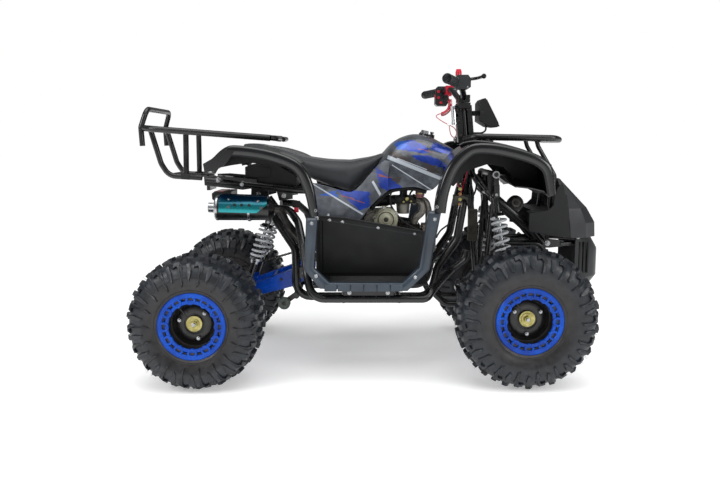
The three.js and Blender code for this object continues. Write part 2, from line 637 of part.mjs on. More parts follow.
// ---------- fenders ----------
function fender(arch, halfWidth, lipThickness, openings) {
  const sheet = sideExtrusion(band(arch, FENDER_SHEET), [-halfWidth, halfWidth]);
  const lip = sideExtrusion(band(arch, FENDER_LIP), [-halfWidth, -halfWidth + lipThickness]);
  return cut(join(sheet, lip, mirrored(lip)), openings);
}
{
  const arch = smooth([[241, 600], [252, 672], [279, 748], [323, 800], [370, 824], [451, 820], [549, 796], [601, 770], [624, 735], [635, 658]], 15);
  const openings = [
    box([200, 300], [-320, 320], [560, 772]),
    box([200, 422], [-170, 170], [560, 900]),
    box([296, 330], [-300, 300], [560, 900]),
    box([420, 520], [-20, 20], [560, 700]),
  ];
  add("front_fender", fender(arch, 400, 14, openings), MATERIALS.fenderPlastic);
}
{
  const arch = smooth([[-509, 743], [-489, 772], [-449, 808], [-406, 817], [-293, 800], [-200, 760], [-158, 688], [-141, 584]], 14);
  const openings = [
    box([-230, -100], [-320, 320], [560, 745]),
    box([-443, -100], [-152, 152], [560, 900]),
  ];
  add("rear_fender", fender(arch, 380, 14, openings), MATERIALS.fenderPlastic);
}

// ---------- nose: cowl over a curved guard ----------
{
  const cowlSide = [[722, 640], [722, 694], [746, 694], [840, 582], [866, 514], [867, 482], [770, 478], [756, 520]];
  const cowlPlan = (inset) => [[700, -172 + inset], [760, -168 + inset], [872 - inset, -118 + inset], [872 - inset, 118 - inset], [760, 168 - inset], [700, 172 - inset]];
  const cowl = cut(
    sideExtrusion(cowlSide.slice().reverse(), [-180, 180]).intersect(planExtrusion(cowlPlan(0), [400, 800])),
    sideExtrusion([[690, 688], [743, 688], [834, 578], [859, 514], [860, 470], [690, 470]].reverse(), [-180, 180])
      .intersect(planExtrusion(cowlPlan(6), [400, 800])),
  );
  const guardPlan = (r) => {
    const points = [];
    for (let k = 0; k <= 10; k++) {
      const a = -Math.PI / 2 + (Math.PI * k) / 10;
      points.push([790 + (113 - r) * Math.cos(a), (112 - r) * Math.sin(a)]);
    }
    return points;
  };
  const guardSide = [[770, 300], [770, 480], [866, 489.5], [903, 430], [903, 330], [876, 294]];
  const guardInside = [[760, 280], [760, 481], [861, 481], [896, 427], [896, 280]];
  const guard = cut(
    planExtrusion(guardPlan(0), [290, 492]).intersect(sideExtrusion(guardSide, [-120, 120])),
    planExtrusion(guardPlan(7), [280, 500]).intersect(sideExtrusion(guardInside, [-120, 120])),
  );
  const innerBox = cut(
    box([604, 724], [-168, 168], [500, 580]),
    box([600, 720], [-162, 162], [495, 574]),
    box([590, 640], [-120, 120], [495, 600]),
    bothSides(rod([690, 95, 455], [704, 70, 660], 10, 8)),
  );
  const link = box([718, 727], [-168, 168], [560, 650]).subtract(box([700, 740], [-160, 160], [500, 660]));
  add("front_fascia", join(cowl, guard, innerBox, link), MATERIALS.greyPlastic);
}

// ---------- racks ----------
{
  const hoop = tube(
    [[372, -118, 838], [408, -150, 848], [690, -150, 842], [716, -120, 836], [716, 120, 836], [690, 150, 842], [408, 150, 848], [372, 118, 838]],
    RACK_TUBE, 30,
  );
  const bars = [500, 640].map((x) => rod([x, -150, 845], [x, 150, 845], RACK_BAR - 1, 8));
  const legs = bothSides(tube([[640, -88, 840], [648, -88, 812], [712, -88, 706], [712, -88, 672]], 8, 20));
  const tab = (s) => box([430, 470], [s * 150 - 14, s * 150 + 14], [826, 834]);
  const feet = [1, -1].map((s) => join(rod([450, s * 150, 846], [450, s * 150, 828], 7, 8), tab(s)));
  add("front_rack", join(hoop, bars, legs, feet), MATERIALS.frameBlack);
}
{
  const railZ = (x) => 842 + ((-319 - x) * 36) / 470;
  const hoop = tube(
    [[-319, -194, railZ(-319)], [-740, -194, railZ(-740)], [-782, -150, 878], [-782, 150, 878], [-740, 194, railZ(-740)], [-319, 194, railZ(-319)]],
    RACK_TUBE, 40,
  );
  const crossbars = [[-633, 864], [-450, 851]].map(([x, z]) => rod([x, -194, z], [x, 194, z], RACK_BAR, 8));
  const basketBar = tube([[-762, -112, 874], [-727, -112, 750], [-700, -112, 706], [-580, -112, 699]], 10, 60);
  const post = rod([-636, -104, 862], [-638, -108, 702], 10, 8);
  const handle = tube(
    [[-778, -160, 814], [-781, -160, 880], [-760, -152, 944], [-760, 152, 944], [-781, 160, 880], [-778, 160, 814]],
    9, 26,
  );
  const floorBars = [[-690, 708], [-632, 702]].map(([x, z]) => rod([x, -112, z], [x, 112, z], 8, 8));
  const floorPlate = box([-668, -598], [-92, 92], [697, 702]);
  const side = [basketBar, post];
  add("rear_rack", join(hoop, crossbars, side, side.map(mirrored), handle, floorBars, floorPlate), MATERIALS.frameBlack);
}

// ---------- tail lamp ----------
add("tail_lamp", box([-556, -482], [-74, 74], [610, 648]), MATERIALS.redPlastic);

// ---------- footwells, foot guards and step bars ----------
{
  const wall = sideExtrusion([[-136, 350], [-136, 566], [-40, 554], [215, 512], [215, 350]].reverse(), [-204, -198]);
  const floor = box([-136, 215], [-352, -198], [344, 352]);
  const rearWall = box([-142, -135], [-352, -198], [344, 560]);
  addPair("footwell", join(wall, floor, rearWall), MATERIALS.blackPlastic);

  const guardOuter = [
    [-182, 574], [-190, 407], [-138, 342], [154, 332], [228, 406], [262, 592], [222, 592], [193, 414], [136, 360],
    [-106, 362], [-157, 412], [-144, 574],
  ];
  const guard = sideExtrusion(guardOuter, [-392, -356]);
  addPair("foot_guard", guard, MATERIALS.greyPlastic);

  const bar = tube(
    [[-318, -112, 588], [-258, -150, 584], [-224, -200, 546], [-203, -260, 472], [-186, -322, 377], [-166, -346, 300], [222, -346, 300], [240, -330, 322], [321, -180, 367], [378, -141, 405], [384, -141, 436]],
    STEP_TUBE, 55,
  );
  const pegPlate = box([-60, 110], [-352, -340], [290, 333]);
  const stays = [-60, 130].map((x) => rod([x, -208, 291], [x, -344, 293], 9, 8));
  addPair("step_bar", join(bar, pegPlate, stays), MATERIALS.frameBlack);
}

export default quad;
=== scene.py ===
# %% [markdown]
# A small petrol quad bike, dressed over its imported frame. The frame gives every place: the axles, the tyres
# and the boxes of the pieces. A maker could model the whole quad as one sculpt, but then nothing could turn
# or be swapped. Here each real part is its own piece that rides on the body that carries it.

# %% Load the frame
import math
import random

import bmesh
import bpy
from mathutils import Matrix, Vector


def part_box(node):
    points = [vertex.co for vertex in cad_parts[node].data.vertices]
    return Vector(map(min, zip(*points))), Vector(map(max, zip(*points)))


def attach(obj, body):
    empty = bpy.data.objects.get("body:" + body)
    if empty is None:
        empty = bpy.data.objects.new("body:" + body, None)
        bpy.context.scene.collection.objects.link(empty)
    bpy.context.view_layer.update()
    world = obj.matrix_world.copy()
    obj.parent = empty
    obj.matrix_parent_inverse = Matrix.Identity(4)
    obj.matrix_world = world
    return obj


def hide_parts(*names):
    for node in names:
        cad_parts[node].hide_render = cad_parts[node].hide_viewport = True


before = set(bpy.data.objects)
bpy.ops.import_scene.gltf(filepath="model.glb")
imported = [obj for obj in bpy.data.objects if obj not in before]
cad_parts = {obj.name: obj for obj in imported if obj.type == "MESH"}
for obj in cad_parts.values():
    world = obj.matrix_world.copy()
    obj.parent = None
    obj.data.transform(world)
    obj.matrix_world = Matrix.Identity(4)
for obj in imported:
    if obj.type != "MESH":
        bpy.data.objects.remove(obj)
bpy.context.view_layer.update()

# %% [markdown]
# The quad is measured as a mechanic would: in millimetres from a point on the ground halfway between the
# axles. The axles come from the tyres in the frame, so a route stays right if the frame moves.

# %% Places in millimetres
MM = 0.001
SIDES = {"right": -1, "left": 1}


def middle(node):
    low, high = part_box(node)
    return (Vector(low) + Vector(high)) / 2


def size(node):
    low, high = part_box(node)
    return Vector(high) - Vector(low)


MID_X = (middle("front_right_tyre").x + middle("rear_right_tyre").x) / 2


def spot(x, y, z):
    return Vector((MID_X + x * MM, y * MM, z * MM))


FRONT_X = (middle("front_right_tyre").x - MID_X) / MM
REAR_X = -FRONT_X
FRONT_AXLE_Z = middle("front_right_tyre").z / MM
REAR_AXLE_Z = middle("rear_right_tyre").z / MM
STEER_RAKE = math.radians(5.5)


def steering_spot(z, y=0.0):
    """A point on the steering axis, which leans back at its top."""
    return (392 + (870 - z) * math.tan(STEER_RAKE), y, z)


print("wheelbase", round(FRONT_X - REAR_X), "mm")

# %% [markdown]
# The camera looks square at the right side from a standing eye, pitched a little down. It stands about
# 2.7 m away with a 35 mm lens, which is why the far wheels sit slightly inside the near ones.

# %% Camera
camera_data = bpy.data.cameras.new("side_view")
camera_data.lens = 35.6
camera_data.sensor_width = 36
camera = bpy.data.objects.new("side_view", camera_data)
camera.location = spot(-4, -2716, 822)
camera.rotation_euler = (math.radians(90 - 7.7), 0, 0)
bpy.context.collection.objects.link(camera)
bpy.context.scene.camera = camera
print("camera", [round(v, 3) for v in camera.location])

# %% [markdown]
# A finish is a small tree of nodes. Adding a node, setting it and wiring it are always the same three
# steps, so one helper does them. Colours are written as the hex codes of a paint card and made linear once.

# %% Node helpers


def linear(hex_code):
    channels = [int(hex_code[i:i + 2], 16) / 255 for i in (0, 2, 4)]
    return [c / 12.92 if c <= 0.04045 else ((c + 0.055) / 1.055) ** 2.4 for c in channels] + [1.0]


def add_node(tree, kind, inputs=None, **settings):
    node = tree.nodes.new(kind)
    for name, value in settings.items():
        setattr(node, name, value)
    for name, value in (inputs or {}).items():
        if isinstance(value, bpy.types.NodeSocket):
            tree.links.new(value, node.inputs[name])
        else:
            node.inputs[name].default_value = value
    return node


def new_finish(name, roughness, metallic=0.0, coat=0.0, specular=0.5):
    """An empty finish: its tree, its shader and the object coordinates in metres."""
    material = bpy.data.materials.new(name)
    material.use_nodes = True
    tree = material.node_tree
    shader = tree.nodes["Principled BSDF"]
    shader.inputs["Roughness"].default_value = roughness
    shader.inputs["Metallic"].default_value = metallic
    shader.inputs["Specular IOR Level"].default_value = specular
    shader.inputs["Coat Weight"].default_value = coat
    shader.inputs["Coat Roughness"].default_value = 0.12
    place = add_node(tree, "ShaderNodeTexCoord").outputs["Object"]
    return material, tree, shader, place


def mottle(tree, place, grain_mm, detail=3.0):
    """Noise whose lumps are about grain_mm across."""
    settings = {"Vector": place, "Scale": 1000 / grain_mm, "Detail": detail}
    return add_node(tree, "ShaderNodeTexNoise", settings).outputs["Fac"]


def spread(tree, value, low, high):
    """Maps the middle of a noise to the span from low to high."""
    inputs = {"Value": value, "From Min": 0.3, "From Max": 0.7, "To Min": low, "To Max": high}
    return add_node(tree, "ShaderNodeMapRange", inputs).outputs["Result"]


def blend_colours(tree, amount, dark, light):
    mix = add_node(tree, "ShaderNodeMix", data_type="RGBA")
    tree.links.new(amount, mix.inputs["Factor"])
    for name, colour in (("A", dark), ("B", light)):
        socket = next(s for s in mix.inputs if s.name == name and s.type == "RGBA")
        if isinstance(colour, bpy.types.NodeSocket):
            tree.links.new(colour, socket)
        else:
            socket.default_value = colour
    return next(s for s in mix.outputs if s.type == "RGBA")


def roughen(tree, shader, height, depth_mm):
    """Raises the surface by up to depth_mm where height is 1."""
    bump = add_node(tree, "ShaderNodeBump", {"Height": height, "Distance": depth_mm * MM, "Strength": 1.0})
    tree.links.new(bump.outputs["Normal"], shader.inputs["Normal"])


def mottled_finish(name, dark, light, roughness, grain_mm, bump_mm, patch_mm=60, **look):
    """A finish with a fine grain, broad patches of tone and a roughness that wanders a little."""
    material, tree, shader, place = new_finish(name, roughness, **look)
    patches = spread(tree, mottle(tree, place, patch_mm), 0.0, 1.0)
    tree.links.new(blend_colours(tree, patches, linear(dark), linear(light)), shader.inputs["Base Color"])
    wander = spread(tree, mottle(tree, place, patch_mm / 3), roughness * 0.82, roughness * 1.18)
    tree.links.new(wander, shader.inputs["Roughness"])
    roughen(tree, shader, mottle(tree, place, grain_mm, 2.0), bump_mm)
    return material


print("node helpers ready")

# %% [markdown]
# Most of the quad is painted tube or moulded plastic. Powder coat is smooth with a faint orange peel, and
# moulded plastic is either polished in the mould, like the fenders, or etched with a grain that hides
# scratches, like the footwells.

# %% Painted and moulded finishes
frame_black = mottled_finish("frame_black", "060708", "0c0d10", 0.3, 1.2, 0.02, coat=0.15)
fender_gloss = mottled_finish("fender_gloss", "060708", "0c0e11", 0.2, 2.5, 0.012, patch_mm=140, coat=0.35)
guard_slate = mottled_finish("guard_slate", "1e2731", "2e3a46", 0.34, 0.9, 0.05, patch_mm=120, coat=0.12)
faded_red = mottled_finish("faded_red", "7c4a4c", "a97274", 0.6, 0.9, 0.1, patch_mm=9)
well_black = mottled_finish("well_black", "08090a", "101214", 0.46, 0.8, 0.08, patch_mm=160, specular=0.35)
nose_charcoal = mottled_finish("nose_charcoal", "111316", "1a1c20", 0.44, 0.7, 0.06, patch_mm=150)
grip_rubber = mottled_finish("grip_rubber", "141618", "1f2225", 0.62, 0.9, 0.05)
royal_blue = mottled_finish("royal_blue", "003596", "0450c4", 0.3, 1.2, 0.02, coat=0.2, specular=0.3)
ring_blue = mottled_finish("ring_blue", "003088", "024ab4", 0.3, 1.0, 0.03, specular=0.25)
rim_black = mottled_finish("rim_black", "0c0b0b", "1a1715", 0.42, 1.0, 0.03, coat=0.2)
spring_white = mottled_finish("spring_white", "b9bdc2", "dadde0", 0.32, 1.5, 0.02, coat=0.3)
signal_red = mottled_finish("signal_red", "b70f2b", "d91c3c", 0.35, 1.0, 0.02, coat=0.3)
print("painted and moulded finishes ready")

# %% [markdown]
# Bare metal is told apart by its roughness and its grain. A casting is dull and pitted, a machined or plated
# part is bright, and zinc with a yellow passivate turns a patchy gold.

# %% Metal finishes
cast_alloy = mottled_finish("cast_alloy", "6f6c66", "a09c94", 0.46, 1.6, 0.12, patch_mm=35, metallic=0.75)
bright_steel = mottled_finish("bright_steel", "8f9194", "b5b7ba", 0.26, 1.0, 0.01, metallic=1.0)
dark_steel = mottled_finish("dark_steel", "2b2a29", "4a4744", 0.4, 1.2, 0.04, patch_mm=20, metallic=0.8)
chrome_plate = mottled_finish("chrome_plate", "c9cbce", "dcdee0", 0.12, 2.0, 0.005, metallic=1.0)
gold_zinc = mottled_finish("gold_zinc", "8d8347", "c3ba7c", 0.36, 1.4, 0.02, patch_mm=14, metallic=0.85)
cream_cover = mottled_finish("cream_cover", "b7b69c", "cfceb6", 0.4, 2.0, 0.02, patch_mm=30, metallic=0.35)
coil_copper = mottled_finish("coil_copper", "8a5634", "c08a62", 0.4, 1.2, 0.05, patch_mm=12, metallic=0.6)
print("metal finishes ready")

# %% [markdown]
# Tyre rubber is never black. Fresh rubber is a blue-grey with a soft sheen that the mould leaves on the
# sidewall. Towards the rim it browns: this band is painted sheen, a colour standing in for the light the rubber
# catches there. The ring of brown is found from the distance to the axle, so each axle needs its own finish.

# %% Tyre rubber


def tyre_rubber(name, axle_x, axle_z):
    material, tree, shader, place = new_finish(name, 0.5, specular=0.45)
    offset = add_node(tree, "ShaderNodeMapping", {"Vector": place, "Location": (-axle_x, 0, -axle_z)})
    axes = add_node(tree, "ShaderNodeSeparateXYZ", {"Vector": offset.outputs["Vector"]})
    flat = add_node(tree, "ShaderNodeCombineXYZ", {"X": axes.outputs["X"], "Z": axes.outputs["Z"]})
    radius = add_node(tree, "ShaderNodeVectorMath", {0: flat.outputs["Vector"]}, operation="LENGTH")
    inputs = {"Value": radius.outputs["Value"], "From Min": 0.115, "From Max": 0.185}
    outwards = add_node(tree, "ShaderNodeMapRange", inputs).outputs["Result"]
    patches = spread(tree, mottle(tree, place, 30), 0.0, 1.0)
    tread_tone = blend_colours(tree, patches, linear("14171b"), linear("23282f"))
    # The browner band towards the rim is a painted sheen, standing in for light on the rubber near the rim.
    rim_sheen_tone = blend_colours(tree, patches, linear("1a1716"), linear("282423"))
    tree.links.new(blend_colours(tree, outwards, rim_sheen_tone, tread_tone), shader.inputs["Base Color"])
    tree.links.new(spread(tree, mottle(tree, place, 12), 0.3, 0.5), shader.inputs["Roughness"])
    roughen(tree, shader, mottle(tree, place, 1.2, 4.0), 0.12)
    return material


front_rubber = tyre_rubber("front_rubber", spot(FRONT_X, 0, 0).x, FRONT_AXLE_Z * MM)
rear_rubber = tyre_rubber("rear_rubber", spot(REAR_X, 0, 0).x, REAR_AXLE_Z * MM)
print("tyre rubber ready")

# %% [markdown]
# Seat vinyl is embossed with small closed cells like leather. A Voronoi pattern gives the cells, and its
# distance to the nearest edge gives the creases between them.

# %% Seat vinyl


def grained_vinyl(name, dark, light):
    material, tree, shader, place = new_finish(name, 0.5, specular=0.45)
    patches = spread(tree, mottle(tree, place, 90), 0.0, 1.0)
    tree.links.new(blend_colours(tree, patches, linear(dark), linear(light)), shader.inputs["Base Color"])
    inputs = {"Vector": place, "Scale": 1000 / 2.2}
    cells = add_node(tree, "ShaderNodeTexVoronoi", inputs, feature="DISTANCE_TO_EDGE").outputs["Distance"]
    crease = add_node(tree, "ShaderNodeMapRange", {"Value": cells, "From Max": 0.18}).outputs["Result"]
    roughen(tree, shader, crease, 0.12)
    shader.inputs["Sheen Weight"].default_value = 0.25
    shader.inputs["Sheen Roughness"].default_value = 0.45
    return material


seat_vinyl = grained_vinyl("seat_vinyl", "14171a", "20252a")
print("seat vinyl ready")

# %% [markdown]
# Every piece is shaped in a bmesh and then handed over in the same way: normals made to point out, sharp
# edges kept sharp, its finishes in slots, and a body to ride on. Edges that a hand would find soft get a
# narrow bevel so that they catch the light.

# %% Handing a piece over


def hand_over(name, bm, body, finishes, stands_for=(), bevel_mm=0.0, subdivide=0, sharp=35):
    if not isinstance(finishes, (list, tuple)):
        finishes = [finishes]
    bmesh.ops.remove_doubles(bm, verts=bm.verts, dist=0.00002)
    bmesh.ops.recalc_face_normals(bm, faces=bm.faces)
    mesh = bpy.data.meshes.new(name)
    bm.to_mesh(mesh)
    bm.free()
    for finish in finishes:
        mesh.materials.append(finish)
    mesh.shade_smooth()
    mesh.set_sharp_from_angle(angle=math.radians(sharp))
    obj = bpy.data.objects.new(name, mesh)
    bpy.context.collection.objects.link(obj)
    if bevel_mm:
        bevel = obj.modifiers.new("soft edges", "BEVEL")
        bevel.width = bevel_mm * MM
        bevel.segments = 2
        bevel.limit_method = "ANGLE"
        bevel.angle_limit = math.radians(40)
    if subdivide:
        smooth = obj.modifiers.new("smooth", "SUBSURF")
        smooth.levels = subdivide
        smooth.render_levels = subdivide
    if stands_for:
        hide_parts(*stands_for)
    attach(obj, body)
    return obj


def paint(geometry, index):
    """Gives the faces among some new geometry the finish at an index."""
    for face in geometry:
        if isinstance(face, bmesh.types.BMFace):
            face.material_index = index


def faces_of(verts):
    return {face for vert in verts for face in vert.link_faces}


print("pieces can be handed over")

# %% [markdown]
# Tubes, springs, cables and fenders are all one idea: a section carried along a path. A pipe bender does
# it with straight runs and arcs. Here a ring of edges is extruded from one placement to the next, and each
# placement turns no more than the path does, so the skin never twists.

# %% Sweeping a section along a path


def rounded(corners, bend_mm, steps=6):
    """The line through some corners, with an arc of steps at each bend."""
    points = [Vector(c) for c in corners]
    line = [points[0]]
    for before, corner, after in zip(points, points[1:], points[2:]):
        into = (corner - before).normalized()
        out = (after - corner).normalized()
        turn = into.angle(out)
        if turn < 0.02:
            line.append(corner)
            continue
        room = 0.49 * min((corner - before).length, (after - corner).length)
        reach = min(bend_mm * MM * math.tan(turn / 2), room)
        radius = reach / math.tan(turn / 2)
        side = (out - into * out.dot(into)).normalized()
        for k in range(steps + 1):
            angle = turn * k / steps
            along = into * (radius * math.sin(angle) - reach)
            line.append(corner + along + side * radius * (1 - math.cos(angle)))
    return line + [points[-1]]


def placements(line, closed=False):
    """A matrix at each point, its Z along the line, turned as little as the line allows."""
    count = len(line)
    tangents = []
    for i in range(count):
        before = line[i - 1] if closed or i else line[0]
        after = line[(i + 1) % count] if closed or i < count - 1 else line[-1]
        tangents.append((after - before).normalized())
    turn = Vector((0, 0, 1)).rotation_difference(tangents[0])
    places = []
    for i in range(count):
        if i:
            turn = tangents[i - 1].rotation_difference(tangents[i]) @ turn
        places.append(Matrix.Translation(line[i]) @ turn.to_matrix().to_4x4())
    return places


def sweep(bm, edges, places):
    """Carries a ring of edges through the placements and returns the last ring."""
    for before, after in zip(places, places[1:]):
        made = bmesh.ops.extrude_edge_only(bm, edges=edges)["geom"]
        verts = [g for g in made if isinstance(g, bmesh.types.BMVert)]
        edges = [g for g in made if isinstance(g, bmesh.types.BMEdge)]
        bmesh.ops.transform(bm, matrix=after @ before.inverted(), verts=verts)
    return edges


def tube(bm, corners, radius, bend=40, sides=16, finish=0, steps=6):
    """A round tube through corners given in millimetres."""
    places = placements(rounded([spot(*c) for c in corners], bend, steps))
    start = bmesh.ops.create_circle(bm, segments=sides, radius=radius * MM, matrix=places[0])["verts"]
    ring = list({edge for vert in start for edge in vert.link_edges})
    count = len(bm.faces)
    last = sweep(bm, ring, places)
    bmesh.ops.contextual_create(bm, geom=ring)
    bmesh.ops.contextual_create(bm, geom=last)
    bm.faces.ensure_lookup_table()
    paint(bm.faces[count:], finish)


def tubes(bm, routes, radius, **look):
    for route in routes:
        tube(bm, route, radius, **look)


def flip(route):
    """The same route on the other side of the quad."""
    return [(x, -y, z) for x, y, z in route]


def rod(bm, start, end, radius, end_radius=None, sides=20, finish=0):
    """A solid round bar, or a cone, between two points in millimetres."""
    a, b = spot(*start), spot(*end)
    turn = Vector((0, 0, 1)).rotation_difference((b - a).normalized()).to_matrix().to_4x4()
    end_radius = radius if end_radius is None else end_radius
    matrix = Matrix.Translation((a + b) / 2) @ turn
    sizes = {"radius1": radius * MM, "radius2": end_radius * MM, "depth": (b - a).length}
    made = bmesh.ops.create_cone(bm, cap_ends=True, segments=sides, matrix=matrix, **sizes)
    paint(faces_of(made["verts"]), finish)
    return made["verts"]


def slab(bm, low, high, finish=0):
    """A box from its lowest to its highest corner, in millimetres."""
    a, b = spot(*low), spot(*high)
    matrix = Matrix.Translation((a + b) / 2) @ Matrix.Diagonal((*(b - a), 1))
    made = bmesh.ops.create_cube(bm, size=1, matrix=matrix)
    paint(faces_of(made["verts"]), finish)
    return made["verts"]


def plate(bm, outline, y0, y1, finish=0):
    """An upright plate: an (x, z) outline pulled across from y0 to y1."""
    face = bm.faces.new([bm.verts.new(spot(x, y0, z)) for x, z in outline])
    made = bmesh.ops.extrude_face_region(bm, geom=[face])["geom"]
    verts = [g for g in made if isinstance(g, bmesh.types.BMVert)]
    bmesh.ops.translate(bm, vec=Vector((0, (y1 - y0) * MM, 0)), verts=verts)
    paint(faces_of(verts), finish)
    return verts


def bolt(bm, at, direction, radius, finish=0):
    """A hexagon head on a washer."""
    point, along = Vector(at), Vector(direction).normalized()
    rod(bm, point - along * 2, point + along * 1.5, radius * 1.45, sides=14, finish=finish)
    rod(bm, point, point + along * radius * 0.95, radius, sides=6, finish=finish)
    rod(bm, point, point + along * radius * 1.2, radius * 0.55, sides=10, finish=finish)


def turned(bm, profile, centre, outward, steps=48, closed=True):
    """Spins a (radius, lateral) profile about an axle through centre. Lateral runs outwards."""
    points = [(centre[0], centre[1] + outward * lateral, centre[2] + radius) for radius, lateral in profile]
    verts = [bm.verts.new(spot(*p)) for p in points]
    pairs = list(zip(verts, verts[1:] + verts[:1])) if closed else list(zip(verts, verts[1:]))
    edges = [bm.edges.new(pair) for pair in pairs]
    count = len(bm.faces)
    turn = {"cent": spot(*centre), "axis": (0, 1, 0), "angle": 2 * math.pi, "steps": steps, "use_merge": True}
    bmesh.ops.spin(bm, geom=verts + edges, **turn)
    bm.faces.ensure_lookup_table()
    return bm.faces[count:]


def curve_through(points, steps=4):
    """A Catmull-Rom line through points of any dimension."""
    points = [Vector(p) for p in points]
    line = []
    for i in range(len(points) - 1):
        a, b, c, d = points[max(i - 1, 0)], points[i], points[i + 1], points[min(i + 2, len(points) - 1)]
        for k in range(steps):
            t = k / steps
            line.append(
                0.5 * (2 * b + (c - a) * t + (2 * a - 5 * b + 4 * c - d) * t**2 + (3 * b - a - 3 * c + d) * t**3)
            )
    return line + [points[-1]]


def wire(bm, line, radius, sides=8, finish=0):
    """A round wire along many points in millimetres."""
    places = placements([spot(*p) for p in line])
    start = bmesh.ops.create_circle(bm, segments=sides, radius=radius * MM, matrix=places[0])["verts"]
    ring = list({edge for vert in start for edge in vert.link_edges})
    count = len(bm.faces)
    last = sweep(bm, ring, places)
    bmesh.ops.contextual_create(bm, geom=ring)
    bmesh.ops.contextual_create(bm, geom=last)
    bm.faces.ensure_lookup_table()
    paint(bm.faces[count:], finish)


print("sweeping, turning and plate tools ready")

# %% [markdown]
# The red safety lanyard is a curly cord with a thin tail. It is a real length of one cord, so it is drawn as
# one: a walk along the coil's axis turns the cord round it, and the walk straightens at each end, where the
# cord leaves the switch and where the tail begins. A spring modifier could not do those ends.

# %% Safety lanyard
CORD_RADIUS = 1.6
TURN_RADIUS = 7.2  # of the cord's centre line in the coil
TURN_PITCH = 4.3
STRAIGHTENING = 16  # millimetres of cord over which it turns out of the coil
COIL_ROUTE = [(351, 150, 1007.5), (351, 150, 996), (353, 149, 978), (348, 144, 957), (330, 136, 941), (309, 130, 936)]
TAIL_ROUTE = [(300, 127.5, 934.5), (296, 125, 928), (303, 120, 920), (320, 112, 908), (338, 102, 897.5)]
WRIST_LOOP = [(362, 92, 884), (372, 90, 866), (368, 90, 850), (358, 91, 848), (349, 94, 862), (344.5, 97.5, 890)]


def curly_walk(route, step=2.4):
    """The centre line of a cord that is coiled about a route."""
    axis = placements(curve_through(route, 14))
    reach = [0.0]
    for before, after in zip(axis, axis[1:]):
        reach.append(reach[-1] + (after.translation - before.translation).length)
    lean = math.atan2(TURN_PITCH, 2 * math.pi * TURN_RADIUS)
    line, height, angle, walked, i = [], 0.0, 0.0, 0.0, 0
    while height < reach[-1]:
        while reach[i + 1] < height and i < len(reach) - 2:
            i += 1
        share = (height - reach[i]) / (reach[i + 1] - reach[i])
        matrix = axis[i].lerp(axis[i + 1], share)
        line.append(matrix @ Vector((TURN_RADIUS * math.cos(angle), TURN_RADIUS * math.sin(angle), 0)))
        leaving = max(0.0, 1 - walked / STRAIGHTENING, 1 - (reach[-1] - height) / (STRAIGHTENING * 0.6))
        rise = lean + (math.pi / 2 - lean) * leaving**0.8
        height += step * math.sin(rise)
        angle += step * math.cos(rise) / TURN_RADIUS
        walked += step
    return line


coil_line = curly_walk(COIL_ROUTE)
tail_line = curve_through([coil_line[-1]] + TAIL_ROUTE + WRIST_LOOP, 8)[1:]
lanyard_line = [spot(*p) for p in coil_line + tail_line]
curve = bpy.data.curves.new("lanyard", "CURVE")
curve.dimensions = "3D"
curve.bevel_depth = CORD_RADIUS * MM
curve.bevel_resolution = 2
curve.use_fill_caps = True
spline = curve.splines.new("POLY")
spline.points.add(len(lanyard_line) - 1)
for point, place in zip(spline.points, lanyard_line):
    point.co = (*place, 1)
lanyard = bpy.data.objects.new("lanyard", curve)
bpy.context.collection.objects.link(lanyard)
curve.materials.append(signal_red)
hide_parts("lanyard_coil", "lanyard_cord")
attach(lanyard, "steering")

bm = bmesh.new()
rod(bm, (338.5, 101.7, 897.2), (346, 97.5, 892.5), 3.2, sides=16, finish=1)
rod(bm, (365, 90, 849), (366, 90, 838), 3, sides=16, finish=1)
wire(bm, [(366 + 3 * math.sin(a), 90, 833 + 5 * math.cos(a)) for a in [k * math.pi / 8 for k in range(16)]], 1, finish=1)
clip = hand_over("lanyard_hook", bm, "steering", [signal_red, chrome_plate], stands_for=["lanyard_clip"])

# %% [markdown]
# The tyres carry most of the picture. A tyre is a bag of rubber with lugs on it. The bag is spun from half
# a section: bead, bulging sidewall, shoulder and crown. It could be displaced from an image, but real
# lugs have undercut edges that only solid blocks give.

# %% Tyre section
LUG_HEIGHT = 13


def tyre_section(radius, half_width):
    """(radius, lateral) from the outer bead over the crown: a smooth line through a few chosen points."""
    crown = radius - LUG_HEIGHT
    half = [
        (103.5, half_width - 26),
        (108, half_width - 19),
        (117, half_width - 12),
        (121, half_width - 9.5),
        (125, half_width - 12),
        (141, half_width - 6),
        (162, half_width - 1),
        (crown - 42, half_width - 4),
        (crown - 24, half_width - 11),
        (crown - 9, half_width - 26),
        (crown - 3, half_width * 0.5),
        (crown, 0),
    ]
    return half


print("crown to lug top", LUG_HEIGHT, "mm")

# %% [markdown]
# A lug is drawn flat, as a mould maker draws it: along the tyre in millimetres and across it from the
# centre line. Then it is wrapped: the distance across is walked along the section and the distance along
# becomes an angle. One pitch of lugs is made, and copies are turned round the axle.

# %% Lugs on the tread


